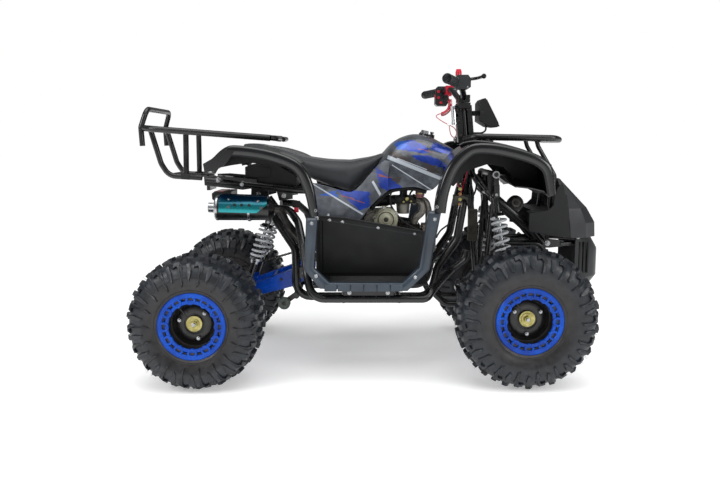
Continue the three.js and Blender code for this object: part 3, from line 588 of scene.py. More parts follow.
class Tread:
    """Wraps flat lug outlines on to a tyre's section."""

    def __init__(self, radius, half_width):
        half = curve_through(tyre_section(radius, half_width), 6)[::-1]
        self.line = half
        self.lengths = [0.0]
        for a, b in zip(half, half[1:]):
            self.lengths.append(self.lengths[-1] + (b - a).length)
        self.radius = radius

    def at(self, along, across, height):
        """The place of a point that is along and across the tread, and height above the rubber."""
        distance = min(abs(across), self.lengths[-1] - 0.01)
        i = max(k for k, length in enumerate(self.lengths[:-1]) if length <= distance)
        t = (distance - self.lengths[i]) / (self.lengths[i + 1] - self.lengths[i])
        point = self.line[i].lerp(self.line[i + 1], t)
        run = (self.line[i + 1] - self.line[i]).normalized()
        outward = Vector((run.y, -run.x))
        if outward.x < -0.3 or (outward.x <= 0.3 and outward.y < 0):
            outward = -outward
        point = point + outward * height
        lateral = math.copysign(point.y, across)
        angle = along / self.radius
        return point.x * math.sin(angle), lateral, point.x * math.cos(angle)

    def lug(self, bm, centre, outline, height, taper=0.86):
        """One block: its foot sunk in the rubber, its top drawn in by the taper."""
        middle_a = sum(a for a, _ in outline) / len(outline)
        middle_c = sum(c for _, c in outline) / len(outline)

        def place(a, c, up, grow):
            a, c = middle_a + (a - middle_a) * grow, middle_c + (c - middle_c) * grow
            dx, dy, dz = self.at(a, c, up)
            return spot(centre[0] + dx, centre[1] + dy, centre[2] + dz)

        foot = [bm.verts.new(place(a, c, -4, 1.0)) for a, c in outline]
        face = bm.faces.new(foot)
        made = bmesh.ops.extrude_face_region(bm, geom=[face])["geom"]
        top = [g for g in made if isinstance(g, bmesh.types.BMFace)][0]
        lifted = {tuple(round(v, 7) for v in vert.co): (a, c) for vert, (a, c) in zip(foot, outline)}
        for vert in top.verts:
            a, c = lifted[tuple(round(v, 7) for v in vert.co)]
            vert.co = place(a, c, height, taper)
        bmesh.ops.bevel(
            bm, geom=list(top.edges), affect="EDGES", offset=1.6 * MM, segments=1, profile=0.5, material=-1
        )
        return [vert for vert in bm.verts if vert.is_valid]


def lug_pitch(pitch, half_width):
    """The outlines of one pitch, (along, across), for the side where across is positive."""
    w = half_width
    shoulder_hook = [
        (-0.30 * pitch, 0.70 * w), (0.02 * pitch, 0.62 * w), (0.20 * pitch, 0.90 * w), (0.15 * pitch, 1.38 * w),
        (0.00 * pitch, 1.46 * w), (0.00 * pitch, 0.98 * w), (-0.10 * pitch, 0.86 * w), (-0.30 * pitch, 0.90 * w),
    ]
    shoulder_bar = [
        (0.34 * pitch, 0.80 * w), (0.54 * pitch, 0.74 * w), (0.64 * pitch, 1.00 * w), (0.56 * pitch, 1.30 * w),
        (0.42 * pitch, 1.24 * w),
    ]
    inner_block = [
        (0.18 * pitch, 0.36 * w), (0.44 * pitch, 0.30 * w), (0.56 * pitch, 0.52 * w), (0.34 * pitch, 0.62 * w),
    ]
    centre_block = [
        (-0.36 * pitch, 0.06 * w), (-0.12 * pitch, 0.02 * w), (-0.02 * pitch, 0.30 * w), (-0.26 * pitch, 0.38 * w),
    ]
    return [shoulder_hook, shoulder_bar, inner_block, centre_block]


def turn_copies(bm, verts, centre, count):
    """Copies some geometry round the axle through centre."""
    edges = {edge for vert in verts for edge in vert.link_edges}
    geometry = list(verts) + list(edges) + list(faces_of(verts))
    for k in range(1, count):
        made = bmesh.ops.duplicate(bm, geom=geometry)["geom"]
        new_verts = [g for g in made if isinstance(g, bmesh.types.BMVert)]
        turn = Matrix.Rotation(2 * math.pi * k / count, 3, "Y")
        bmesh.ops.rotate(bm, cent=spot(*centre), matrix=turn, verts=new_verts)


PITCHES = 18


def make_tyre(name, node, outward, rubber, body):
    centre_m = middle(node)
    centre = ((centre_m.x - MID_X) / MM, centre_m.y / MM, centre_m.z / MM)
    radius, half_width = centre[2], size(node).y / 2 / MM
    bm = bmesh.new()
    half = [tuple(p) for p in curve_through(tyre_section(radius, half_width), 3)]
    section = half + [(r, -t) for r, t in half[-2::-1]]
    turned(bm, section, centre, outward, steps=72)
    tread = Tread(radius, half_width)
    pitch = 2 * math.pi * radius / PITCHES
    lugs = bmesh.new()
    for side in (1, -1):
        shift = 0 if side > 0 else pitch / 2
        for k, outline in enumerate(lug_pitch(pitch, half_width)):
            wrapped = [(a + shift, side * c) for a, c in outline]
            height = LUG_HEIGHT - (5.5 if k < 2 else 0.3)
            tread.lug(lugs, centre, wrapped, height)
    turn_copies(lugs, list(lugs.verts), centre, PITCHES)
    bmesh.ops.recalc_face_normals(lugs, faces=lugs.faces)
    join(bm, lugs)
    hairs = random.Random(7)
    for _ in range(150):
        along = hairs.uniform(0, 2 * math.pi * radius)
        across = hairs.choice((-1, 1)) * hairs.uniform(0.35, 1.25) * half_width
        root = Vector(tread.at(along, across, 0)) + Vector(centre)
        tip = Vector(tread.at(along + hairs.uniform(-3, 3), across, hairs.uniform(12, 17))) + Vector(centre)
        if tip.z > 4 and (tip - Vector(centre)).length < radius + 30:
            rod(bm, root, tip, 0.55, 0.3, sides=3)
    return hand_over(name, bm, body, rubber, stands_for=[node], sharp=40)


def join(bm, other):
    """Adds another bmesh's geometry to bm."""
    scrap = bpy.data.meshes.new("joining")
    other.to_mesh(scrap)
    other.free()
    bm.from_mesh(scrap)
    bpy.data.meshes.remove(scrap)


for side, outward in SIDES.items():
    tyre = make_tyre(f"front_tyre_{side}", f"front_{side}_tyre", outward, front_rubber, f"front_wheel_{side}")
    make_tyre(f"rear_tyre_{side}", f"rear_{side}_tyre", outward, rear_rubber, "rear_wheels")
print("front tyre has", len(tyre.data.polygons), "faces")

# %% [markdown]
# Each wheel is a black pressed rim with a blue ring bolted to its face. The ring looks carved, but it is
# two hoops tied together by a boss at each bolt, with pockets left between the bosses. Modelled that way,
# as hoops and bosses that sink into each other, it needs no boolean.

# %% Rims with a bolted ring
RING_RADIUS = 113
BOSS_COUNT = 12


def boss(bm, centre, outward, face_at, finish, hole_finish):
    """A bolt boss with its hole, at the top of the ring."""
    x, y, z = centre
    verts = rod(bm, (x, y + outward * (face_at - 11), z + 90), (x, y + outward * face_at, z + 90), 17, sides=8, finish=finish)
    front = max(faces_of(verts), key=lambda face: face.calc_center_median().y * outward)
    for thickness, depth in ((7, 0), (0.6, -7)):
        bmesh.ops.inset_region(bm, faces=[front], thickness=thickness * MM)
        bmesh.ops.translate(bm, vec=Vector((0, outward * depth * MM, 0)), verts=front.verts)
    front.material_index = hole_finish


def make_rim(name, node, tyre_node, outward, body, hub_gold):
    centre_m = middle(tyre_node)
    centre = ((centre_m.x - MID_X) / MM, centre_m.y / MM, centre_m.z / MM)
    half_width = size(tyre_node).y / 2 / MM
    edge = half_width - 24
    disc = edge - 42
    bm = bmesh.new()
    barrel = [
        (20, disc), (52, disc), (58, disc + 2), (64, disc - 1), (78, disc - 2), (84, disc + 6), (88, edge - 8), (92, edge + 3),
        (104, edge + 4), (112, edge + 5), (112, edge + 2), (101, edge - 1), (98, edge - 12), (96, disc), (96, -edge + 4),
        (101, -edge), (112, -edge - 5), (110, -edge - 7), (99, -edge - 3), (91, -edge + 2), (90, disc - 12), (80, disc - 10), (20, disc - 8),
    ]
    turned(bm, barrel, centre, outward, steps=64)
    dish = [(34, disc - 1), (34, disc + 3.5), (37, disc + 4.5), (56, disc + 4.5), (60, disc + 2), (60, disc - 1)]
    turned(bm, dish, centre, outward, steps=48)
    outer_hoop = [
        (97, edge), (96.5, edge + 9), (99, edge + 11.5), (110, edge + 11.5), (113, edge + 9), (113.4, edge + 3), (112, edge),
    ]
    inner_hoop = [(76, edge + 1), (76, edge + 7), (78, edge + 9), (86, edge + 9), (88, edge + 7), (88, edge + 1)]
    for hoop in (outer_hoop, inner_hoop):
        paint(turned(bm, hoop, centre, outward, steps=96), 1)
    one = bmesh.new()
    boss(one, centre, outward, edge + 11, 1, 0)
    for x0, x1 in ((-15.5, -10.5), (10.5, 15.5)):
        slab(one, (centre[0] + x0, centre[1] + outward * (edge + 1), centre[2] + 80),
             (centre[0] + x1, centre[1] + outward * (edge + 7.5), centre[2] + 104), finish=1)
    turn_copies(one, list(one.verts), centre, BOSS_COUNT)
    join(bm, one)
    hub_y = disc + 4

    def on_hub(radius, angle, lateral):
        return (
            centre[0] + radius * math.cos(angle),
            centre[1] + outward * lateral,
            centre[2] + radius * math.sin(angle),
        )

    rod(bm, on_hub(0, 0, hub_y), on_hub(0, 0, hub_y + 5), 27, sides=36, finish=2)
    rod(bm, on_hub(0, 0, hub_y + 4), on_hub(0, 0, hub_y + 8), 17 if hub_gold else 20, sides=32, finish=2)
    rod(bm, on_hub(0, 0, hub_y + 7), on_hub(0, 0, hub_y + 17), 12, sides=6, finish=2)
    rod(bm, on_hub(0, 0, hub_y + 12), on_hub(0, 0, hub_y + 22), 6.5, sides=16, finish=3)
    for k in range(3):
        angle = math.radians(-90 + 120 * k if not hub_gold else -75 + 120 * k)
        rod(bm, on_hub(50, angle, hub_y - 2), on_hub(50, angle, hub_y + 3), 9, sides=20, finish=0)
        rod(bm, on_hub(50, angle, hub_y + 2), on_hub(50, angle, hub_y + 9), 7, sides=6, finish=3)
        rod(bm, on_hub(50, angle, hub_y + 8), on_hub(50, angle, hub_y + 14), 4, sides=14, finish=3)
    rod(bm, on_hub(36, 2.2, edge - 20), on_hub(86, 2.2, edge - 8), 2.2, sides=8, finish=0)
    finishes = [rim_black, ring_blue, gold_zinc, bright_steel]
    return hand_over(name, bm, body, finishes, stands_for=[node], bevel_mm=0.5)


for side, outward in SIDES.items():
    for end, gold in (("front", False), ("rear", True)):
        body = f"front_wheel_{side}" if end == "front" else "rear_wheels"
        make_rim(f"{end}_wheel_{side}", f"{end}_{side}_rim", f"{end}_{side}_tyre", outward, body, gold)
print("wheels made with", BOSS_COUNT, "bosses each")

# %% [markdown]
# The frame is welded from round tube. Two bent loops make the cradle round the engine, and cross tubes tie
# them together. Each loop is one swept tube, as it is one bent tube on the real frame.

# %% Frame cradle
PIVOT = (-205, 348)  # (x, z) of the swingarm's pivot
LOOP = [
    (-363, 75, 612), (-242, 110, 435), (-242, 110, 258), (258, 110, 258),
    (285, 110, 370), (354, 108, 470), (376, 100, 600), (396, 48, 704),
]
bm = bmesh.new()
tubes(bm, [LOOP, flip(LOOP)], 15, bend=55)
for x, z, radius in ((-242, 260, 12), (258, 262, 12), (PIVOT[0], PIVOT[1], 11)):
    rod(bm, (x, -110, z), (x, 110, z), radius)
for x in (-60, 130):
    tube(bm, [(x, -204, 290), (x, -110, 262), (x, 110, 262), (x, 204, 290)], 10, bend=40)
for side in SIDES.values():
    hanger = [(-252, 332), (-252, 366), (-212, 370), (-190, 360), (-186, 346), (-194, 332), (-214, 326)]
    plate(bm, hanger, side * 104, side * 115)
    bolt(bm, (PIVOT[0], side * 116, PIVOT[1]), (0, side, 0), 10, finish=1)
hand_over("cradle", bm, "chassis", [frame_black, bright_steel], stands_for=["frame_cradle"], bevel_mm=0.6)
print("cradle made from", len(LOOP), "corners a side")

# %% [markdown]
# The backbone runs from the steering head down under the seat, where it splits into two rails. The rails
# carry the rear rack on bolted plates.

# %% Frame backbone and seat rails
bm = bmesh.new()
spine_top = (steering_spot(742)[0] - 20, 0, 742)
tube(bm, [spine_top, (250, 0, 728), (70, 0, 660), (-70, 0, 648)], 19, bend=80)
head_low, head_high = steering_spot(696), steering_spot(786)
rod(bm, head_low, head_high, 26, sides=32)
for z in (696, 780):
    rod(bm, steering_spot(z), steering_spot(z + 6), 27.5, sides=32)
rail = [(-60, 0, 650), (-110, 118, 652), (-240, 122, 655), (-566, 122, 690)]
for route in (rail, flip(rail)):
    tube(bm, route, 13, bend=60)
for side in SIDES.values():
    bracket = [(-568, 672), (-570, 704), (-520, 706), (-380, 694), (-376, 664), (-430, 656)]
    plate(bm, bracket, side * 122, side * 128.5)
    for x, z in ((-518, 690), (-432, 676)):
        bolt(bm, (x, side * 128, z), (0, side, 0), 8, finish=1)
    hanger = [(-400, 660), (-340, 664), (-336, 628), (-372, 618), (-402, 630)]
    plate(bm, hanger, side * 116, side * 121)
    bolt(bm, (-374, side * 121, 640), (0, side, 0), 6, finish=1)
    gusset = [(-310, 656), (-250, 660), (-250, 622), (-300, 616)]
    plate(bm, gusset, side * 112, side * 117)
    bolt(bm, (-282, side * 117, 634), (0, side, 0), 6, finish=1)
for x, z in ((-545, 688), (-300, 661)):
    rod(bm, (x, -122, z), (x, 122, z), 10)
slab(bm, (-575, -60, 650), (-563, 60, 700))
slab(bm, (-566, -12, 676), (-540, 12, 688))
finishes = [frame_black, bright_steel]
hand_over("backbone", bm, "chassis", finishes, stands_for=["frame_backbone"], bevel_mm=0.6)
print("backbone made, head tube", round(head_high[2] - head_low[2]), "mm long")

# %% [markdown]
# The front subframe holds the wishbones and the tops of the front shock absorbers. A long diagonal brace
# ties the shock tower to the bumper bracket.

# %% Front subframe
bm = bmesh.new()
tower = [(276, 75, 262), (318, 75, 222), (672, 75, 222), (680, 95, 455), (500, 95, 455), (484, 95, 712)]
brace = [(462, 95, 655), (640, 95, 500), (676, 95, 455)]
for mirror in (lambda r: r, flip):
    tube(bm, mirror(tower), 12, bend=35)
    tube(bm, mirror(brace), 14, bend=50)
    tube(bm, mirror([(480, 95, 640), (432, 46, 704)]), 12)
    tube(bm, mirror([(735, 101, 456), (800, 84, 456), (856, 36, 456)]), 9, bend=50)
    rod(bm, *mirror([(458, 92, 345), (676, 92, 345)]), 10)
    rod(bm, *mirror([(486, 95, 600), (457, 76, 222)]), 11)
    tube(bm, mirror([(690, 95, 455), (704, 70, 660)]), 8)
for side in SIDES.values():
    strap = [(665, 440), (665, 470), (700, 472), (748, 468), (752, 456), (746, 445), (700, 440)]
    plate(bm, strap, side * 96, side * 105)
    bolt(bm, (690, side * 105, 457), (0, side, 0), 7, finish=1)
    tab = [(462, 716), (500, 720), (506, 650), (498, 628), (476, 626), (464, 660)]
    plate(bm, tab, side * 106, side * 117)
    ear = [(478, 672), (498, 676), (500, 632), (482, 626)]
    plate(bm, ear, side * 150, side * 155)
    rod(bm, (487, side * 112, 640), (487, side * 158, 640), 5.5, finish=1)
    rod(bm, (484, side * 95, 712), (484, side * 158, 712), 12.5)
    rod(bm, (484, side * 154, 712), (484, side * 160, 712), 13.5, sides=28, finish=1)
    rod(bm, (484, side * 159.5, 712), (484, side * 160.3, 712), 8.5, sides=24, finish=0)
    slab(bm, (478, min(side * 118, side * 152), 672), (492, max(side * 118, side * 152), 700))
for x, y, z, radius in ((484, 95, 712, 12), (678, 101, 455, 11), (484, 95, 640, 11), (655, 92, 345, 10), (856, 40, 456, 9)):
    rod(bm, (x, -y, z), (x, y, z), radius)
for x in (560, 425):
    rod(bm, (x, -75, 226), (x, 75, 226), 10)
slab(bm, (405, -26, 228), (560, 26, 244))
rod(bm, (704, -74, 660), (704, 74, 660), 8)
hand_over("subframe", bm, "chassis", [frame_black, bright_steel], stands_for=["front_subframe"], bevel_mm=0.5)
print("subframe made")

# %% [markdown]
# Racks and step bars are thinner tube in the same coat. Their loops are closed by welding the ends to a
# cross bar, so each visible bar is again one swept tube.

# %% Rear rack
REAR_HOOP = [
    (-319, -194, 842), (-740, -194, 874), (-782, -150, 878), (-782, 150, 878), (-740, 194, 874), (-319, 194, 842),
]
bm = bmesh.new()
tube(bm, REAR_HOOP, 11, bend=45)
for x, z in ((-633, 864), (-450, 851)):
    rod(bm, (x, -194, z), (x, 194, z), 9)
basket = [(-762, -112, 874), (-727, -112, 750), (-700, -112, 706), (-580, -112, 699)]
post = [(-636, -104, 862), (-638, -108, 702)]
for mirror in (lambda r: r, flip):
    tube(bm, mirror(basket), 10, bend=60)
    tube(bm, mirror(post), 10)
    tube(bm, mirror([(-319, -194, 842), (-300, -180, 840), (-300, -60, 838)]), 9, bend=20)
handle = [
    (-778, -160, 814), (-781, -160, 880), (-760, -152, 944), (-760, 152, 944), (-781, 160, 880), (-778, 160, 814),
]
tube(bm, handle, 9.5, bend=28)
for x, z in ((-690, 708), (-632, 702)):
    rod(bm, (x, -112, z), (x, 112, z), 8)
slab(bm, (-668, -92, 697), (-598, 92, 702))
for side in SIDES.values():
    clip = [(-655, 694), (-655, 714), (-622, 713), (-622, 692)]
    plate(bm, clip, side * 104, side * 124)
hand_over("rack_rear", bm, "chassis", frame_black, stands_for=["rear_rack"], bevel_mm=0.6)

# %% Front rack
FRONT_HOOP = [
    (372, -118, 838), (408, -150, 848), (690, -150, 842), (716, -120, 836),
    (716, 120, 836), (690, 150, 842), (408, 150, 848), (372, 118, 838),
]
bm = bmesh.new()
tube(bm, FRONT_HOOP, 11, bend=35)
for x in (500, 640):
    rod(bm, (x, -150, 845), (x, 150, 845), 8)
for side in SIDES.values():
    leg = [(640, side * 88, 840), (648, side * 88, 812), (712, side * 88, 706), (712, side * 88, 672)]
    tube(bm, leg, 8, bend=30)
    slab(bm, (430, side * 150 - 14, 826), (470, side * 150 + 14, 834))
    rod(bm, (450, side * 150, 846), (450, side * 150, 828), 7)
    bolt(bm, (690, side * 97, 742), (0, side, 0), 5.5, finish=1)
hand_over("rack_front", bm, "chassis", [frame_black, bright_steel], stands_for=["front_rack"], bevel_mm=0.6)
print("racks made")

# %% Step bars
STEP_BAR = [
    (-318, -112, 588), (-258, -150, 584), (-224, -200, 546), (-203, -260, 472), (-186, -322, 377), (-166, -346, 300),
    (222, -346, 300), (240, -330, 322), (321, -180, 367), (378, -141, 405), (384, -141, 436),
]
for side, outward in SIDES.items():
    route = STEP_BAR if outward < 0 else flip(STEP_BAR)
    bm = bmesh.new()
    tube(bm, route, 14, bend=60)
    for x in (-60, 130):
        rod(bm, (x, outward * 208, 291), (x, outward * 344, 293), 9)
    slab(bm, (-60, min(outward * 340, outward * 352), 290), (110, max(outward * 340, outward * 352), 333))
    for x in (-40, 90):
        bolt(bm, (x, outward * 352, 322), (0, outward, 0), 5, finish=1)
    node = f"step_bar_{side}"
    hand_over(f"step_tube_{side}", bm, "chassis", [frame_black, bright_steel], stands_for=[node], bevel_mm=0.6)
print("step bars made")

# %% [markdown]
# Coil springs are a wire swept along a helix. The first and last turns close up, as on a real spring,
# because its ends must sit flat on their seats. Each damper has a body, a bright rod and two rubber eyes.

# %% Shock absorbers


def helix(a, b, radius, turns, closed=1.0, steps=20):
    """The centre line of a coil about the line from a to b, in millimetres."""
    a, b = Vector(a), Vector(b)
    along = (b - a).normalized()
    side = along.orthogonal().normalized()
    up = along.cross(side)
    pitch = (b - a).length
    line = []
    for k in range(int(turns * steps) + 1):
        turn = k / steps
        share = turn / turns
        eased = share * share * (3 - 2 * share) * 0.35 + share * 0.65
        angle = 2 * math.pi * turn
        line.append(a + along * (pitch * eased) + (side * math.cos(angle) + up * math.sin(angle)) * radius)
    return line


def shock(name, node, bottom, top, coil, wire_radius, turns, span, body_radius, collar):
    low, high = Vector(bottom), Vector(top)

    def at(t):
        return low.lerp(high, t)

    bm = bmesh.new()
    wire(bm, helix(at(span[0]), at(span[1]), coil, turns), wire_radius, finish=0)
    rod(bm, at(0.04), at(span[0] + 0.16), body_radius, sides=28, finish=1)
    rod(bm, at(span[0]), at(span[1]), body_radius * 0.5, sides=20, finish=2)
    rod(bm, at(span[0] - 0.045), at(span[0] - 0.012), coil + 1, sides=32, finish=collar)
    rod(bm, at(span[0] - 0.1), at(span[0] - 0.05), body_radius + 4, body_radius + 6, sides=12, finish=collar)
    rod(bm, at(span[1] + 0.012), at(span[1] + 0.04), coil + 1, coil - 4, sides=32, finish=1)
    rod(bm, at(span[1] + 0.03), at(0.97), body_radius * 0.8, sides=24, finish=1)
    for point in (low, high):
        ends = (point + Vector((0, -10, 0)), point + Vector((0, 10, 0)))
        rod(bm, *ends, 11.5, sides=28, finish=1)
        rod(bm, ends[0] + Vector((0, -1.5, 0)), ends[1] + Vector((0, 1.5, 0)), 5.5, sides=20, finish=2)
    finishes = [spring_white, frame_black, bright_steel]
    hand_over(name, bm, "chassis", finishes, stands_for=[node], bevel_mm=0.4, sharp=50)


for side, outward in SIDES.items():
    bottom, top = (545, outward * 190, 224), (487, outward * 133, 640)
    shock(f"shock_front_{side}", f"front_shock_{side}", bottom, top, 25, 4.8, 7.5, (0.4, 0.8), 14, 1)
    bottom, top = (-423, outward * 118, 302), (-340, outward * 118, 538)
    shock(f"shock_rear_{side}", f"rear_shock_{side}", bottom, top, 22, 4.6, 6.5, (0.45, 0.92), 12, 2)
print("four shock absorbers made")

# %% [markdown]
# Moulded shells change their section as they go. A boat builder would call it lofting: the first line of
# edges is drawn, extruded to the next station, and its points are set there. Sheets get their wall
# thickness afterwards.

# %% Lofting through stations


def loft(bm, lines, closed=False, finish=0, thickness=0.0):
    """A skin through lines of points in millimetres, each line with the same number of points."""
    verts = [bm.verts.new(spot(*p)) for p in lines[0]]
    pairs = list(zip(verts, verts[1:])) + ([(verts[-1], verts[0])] if closed else [])
    first = edges = [bm.edges.new(pair) for pair in pairs]
    count = len(bm.faces)
    for line in lines[1:]:
        made = bmesh.ops.extrude_edge_only(bm, edges=edges)["geom"]
        new_verts = {v.co.to_tuple(7): v for v in made if isinstance(v, bmesh.types.BMVert)}
        edges = [g for g in made if isinstance(g, bmesh.types.BMEdge)]
        ordered = [new_verts[vert.co.to_tuple(7)] for vert in verts]
        for vert, place in zip(ordered, line):
            vert.co = spot(*place)
        verts = ordered
    bm.faces.ensure_lookup_table()
    skin = bm.faces[count:]
    if closed:
        bmesh.ops.contextual_create(bm, geom=first)
        bmesh.ops.contextual_create(bm, geom=edges)
    elif thickness:
        bmesh.ops.recalc_face_normals(bm, faces=skin)
        bmesh.ops.solidify(bm, geom=skin, thickness=thickness * MM)
    bm.faces.ensure_lookup_table()
    paint(bm.faces[count:], finish)


def eased(points, steps=4):
    """A smooth line through chosen points, as plain tuples."""
    return [tuple(p) for p in curve_through(points, steps)]


def across(half):
    """A line from the right side to the left, from its right half."""
    return half + [(x, -y, z) for x, y, z in half[::-1] if abs(y) > 0.01]


print("lofting ready")

# %% [markdown]
# The fenders are one moulding each: a wide sheet with a fat rolled rim at each side. The rim is a closed
# section swept along the arch, and the sheet hangs between the rims. Their gloss shows every flat, so the
# arch is a smooth line through its chosen points.

# %% Fenders
FRONT_ARCH = [
    (241, 600), (252, 672), (279, 748), (323, 800), (370, 824), (451, 820), (549, 796), (601, 770), (624, 735),
    (635, 658),
]
REAR_ARCH = [(-509, 743), (-489, 772), (-449, 808), (-406, 817), (-293, 800), (-200, 760), (-158, 688), (-141, 584)]


def arch_frames(arch, steps=5):
    """Point and outward direction along an arch of (x, z) points."""
    line = curve_through([(x, z) for x, z in arch], steps)
    frames = []
    for i, point in enumerate(line):
        run = (line[min(i + 1, len(line) - 1)] - line[max(i - 1, 0)]).normalized()
        frames.append((point, Vector((-run.y, run.x))))
    return frames


def rim_section(outer, width, depth):
    """(lateral, outward) points of a rolled rim: round outside, open below."""
    corner = 11
    points = [(outer - width, -3), (outer - corner - 5, 0)]
    for k in range(1, 6):
        angle = math.pi / 2 * k / 6
        points.append((outer - corner + corner * math.sin(angle), -corner + corner * math.cos(angle)))
    points += [(outer + 0.5, -depth * 0.55), (outer - 1.5, -depth + 6), (outer - 8, -depth)]
    points += [(outer - width * 0.6, -depth + 5), (outer - width * 0.9, -depth * 0.5)]
    return points


def fender_rim(bm, arch, outward, half_width, width, depth):
    lines = []
    frames = arch_frames(arch)
    for i, (point, normal) in enumerate(frames):
        share = i / (len(frames) - 1)
        fade = 1 - 0.25 * max(0, share - 0.85) / 0.15
        section = rim_section(half_width, width, depth * fade)
        lines.append([(point.x + normal.x * n, outward * y, point.y + normal.y * n) for y, n in section])
    loft(bm, lines, closed=True)


def fender_sheet(bm, arch, start, end, inner, outer, crown=0.0):
    """A stretch of sheet between two shares of the arch, from inner to outer lateral."""
    frames = arch_frames(arch)
    kept = frames[int(start * (len(frames) - 1)):int(end * (len(frames) - 1)) + 1]
    lines = []
    for point, normal in kept:
        row = []
        for k in range(9):
            y = inner + (outer - inner) * k / 8
            rise = crown * math.cos(math.pi / 2 * min(abs(y) / outer, 1.0)) - 3
            row.append((point.x + normal.x * rise, y, point.y + normal.y * rise))
        lines.append(row)
    loft(bm, lines, thickness=3.5)


def line_underside(bm, x, z):
    """Gives the faces that look in at the wheel the matt finish of an unpolished mould."""
    bmesh.ops.recalc_face_normals(bm, faces=bm.faces)
    hub = spot(x, 0, z)
    for face in bm.faces:
        outwards = face.calc_center_median() - hub
        facing = face.normal.x * outwards.x + face.normal.z * outwards.z
        if facing < 0 and abs(face.normal.y) < 0.8 and face.material_index == 0:
            face.material_index = 2


fender_finishes = [fender_gloss, bright_steel, well_black]
bm = bmesh.new()
for outward in SIDES.values():
    fender_rim(bm, FRONT_ARCH, outward, 400, 34, 36)
    fender_sheet(bm, FRONT_ARCH, 0.0, 0.24, outward * 322, outward * 372)
    fender_sheet(bm, FRONT_ARCH, 0.24, 0.53, outward * 172, outward * 372)
    bolt(bm, (247, outward * 401, 618), (0, outward, 0), 5, finish=1)
fender_sheet(bm, FRONT_ARCH, 0.53, 1.0, -372, 372, crown=6)
for y in (-250, 250):
    ridge = [(point.x + normal.x * 3, y, point.y + normal.y * 3) for point, normal in arch_frames(FRONT_ARCH)[17:38]]
    wire(bm, ridge, 6, sides=8)
lip = [(635, 658), (618, 652), (602, 668), (560, 678), (505, 684)]
for outward in SIDES.values():
    skirt = [
        [(x, outward * 372, z) for x, z in lip],
        [(x + 4, outward * 240, z + 12) for x, z in lip],
        [(x + 8, outward * 120, z + 26) for x, z in lip],
    ]
    loft(bm, skirt, thickness=4)
line_underside(bm, 436, 560)
INNER_ARCH = [
    (329, 671), (379, 726), (449, 750), (508, 740), (548, 696), (588, 666), (627, 646), (662, 648), (640, 720),
    (604, 764), (549, 789), (451, 811), (372, 815), (325, 794), (298, 740), (294, 690),
]
for outward in SIDES.values():
    plate(bm, INNER_ARCH, outward * 170, outward * 173, finish=2)
hand_over("fender_front", bm, "chassis", fender_finishes, ["front_fender"], sharp=50)

bm = bmesh.new()
for outward in SIDES.values():
    fender_rim(bm, REAR_ARCH, outward, 380, 34, 36)
    fender_sheet(bm, REAR_ARCH, 0.26, 0.72, outward * 154, outward * 352)
    fender_sheet(bm, REAR_ARCH, 0.72, 1.0, outward * 322, outward * 352)
    bolt(bm, (-150, outward * 381, 604), (0, outward, 0), 5, finish=1)
fender_sheet(bm, REAR_ARCH, 0.0, 0.26, -352, 352, crown=5)
line_underside(bm, -320, 560)
TAIL_CORNER = [(-516, 757), (-512, 728), (-478, 735), (-440, 757), (-412, 800), (-449, 804), (-489, 772)]
REAR_INNER_ARCH = [
    (-499, 738), (-448, 748), (-387, 757), (-300, 750), (-232, 736), (-226, 768), (-293, 794), (-406, 811),
    (-449, 800), (-487, 768),
]
for outward in SIDES.values():
    plate(bm, TAIL_CORNER, outward * 364, outward * 383)
    plate(bm, REAR_INNER_ARCH, outward * 250, outward * 253, finish=2)
hand_over("fender_rear", bm, "chassis", fender_finishes, ["rear_fender"], sharp=50)
print("fenders made, front arch", len(arch_frames(FRONT_ARCH)), "stations")

# %% [markdown]
# The seat is moulded foam under a stretched vinyl cover. It is full and tight, so it has no wrinkles: its
# crown, its waisted sides and its hollow for the rider are all in the foam. Stations along its length
# carry a rounded section, and a welted seam runs along each edge.

# %% Seat
SEAT_STATIONS = [  # x, top, bottom, half width
    (-433, 806, 797, 96), (-424, 822, 790, 112), (-380, 822, 776, 126), (-330, 812, 764, 137), (-270, 796, 748, 144),
    (-215, 779, 710, 149), (-130, 766, 673, 150), (-60, 763, 652, 147), (-36, 763, 648, 141), (4, 769, 680, 124),
    (30, 773, 710, 112), (56, 779, 742, 98), (80, 785, 764, 84), (88, 780, 770, 74),
]


def seat_section(top, bottom, half_width, sides=28):
    """A cushion's section: flat under, full at the sides, crowned on top."""
    points = []
    for k in range(sides):
        angle = 2 * math.pi * k / sides
        c, s = math.cos(angle), math.sin(angle)
        y = math.copysign(abs(c) ** 0.5, c)
        up = math.copysign(abs(s) ** (0.62 if s > 0 else 0.4), s)
        middle_z, half_z = (top + bottom) / 2, (top - bottom) / 2
        tuck = 0.93 if up < -0.5 else 1.0 - 0.05 * max(up, 0) ** 2
        points.append((y * half_width * tuck, middle_z + up * half_z))
    return points


bm = bmesh.new()
stations = eased(SEAT_STATIONS, 4)
loft(bm, [[(x, y, z) for y, z in seat_section(top, bottom, w)] for x, top, bottom, w in stations], closed=True)
for outward in SIDES.values():
    seam = []
    for x, top, bottom, w in stations[3:-2]:
        y, z = seat_section(top, bottom, w)[4]
        seam.append((x, outward * (abs(y) - 0.4), z + 0.2))
    wire(bm, seam, 1.5, sides=8)
seat = hand_over("seat_pad", bm, "chassis", seat_vinyl, stands_for=["seat"], sharp=60)
print("seat made,", len(stations), "stations")

# %% [markdown]
# The tank cover and side panels wear a printed film: blue shards, silver slashes and thin orange streaks on
# a metallic graphite. No picture is needed. Each shard is a polygon, and a polygon is where several
# half-planes overlap, which takes one dot product and one comparison for each edge. A little noise on the
# coordinates tears the edges of the blue.

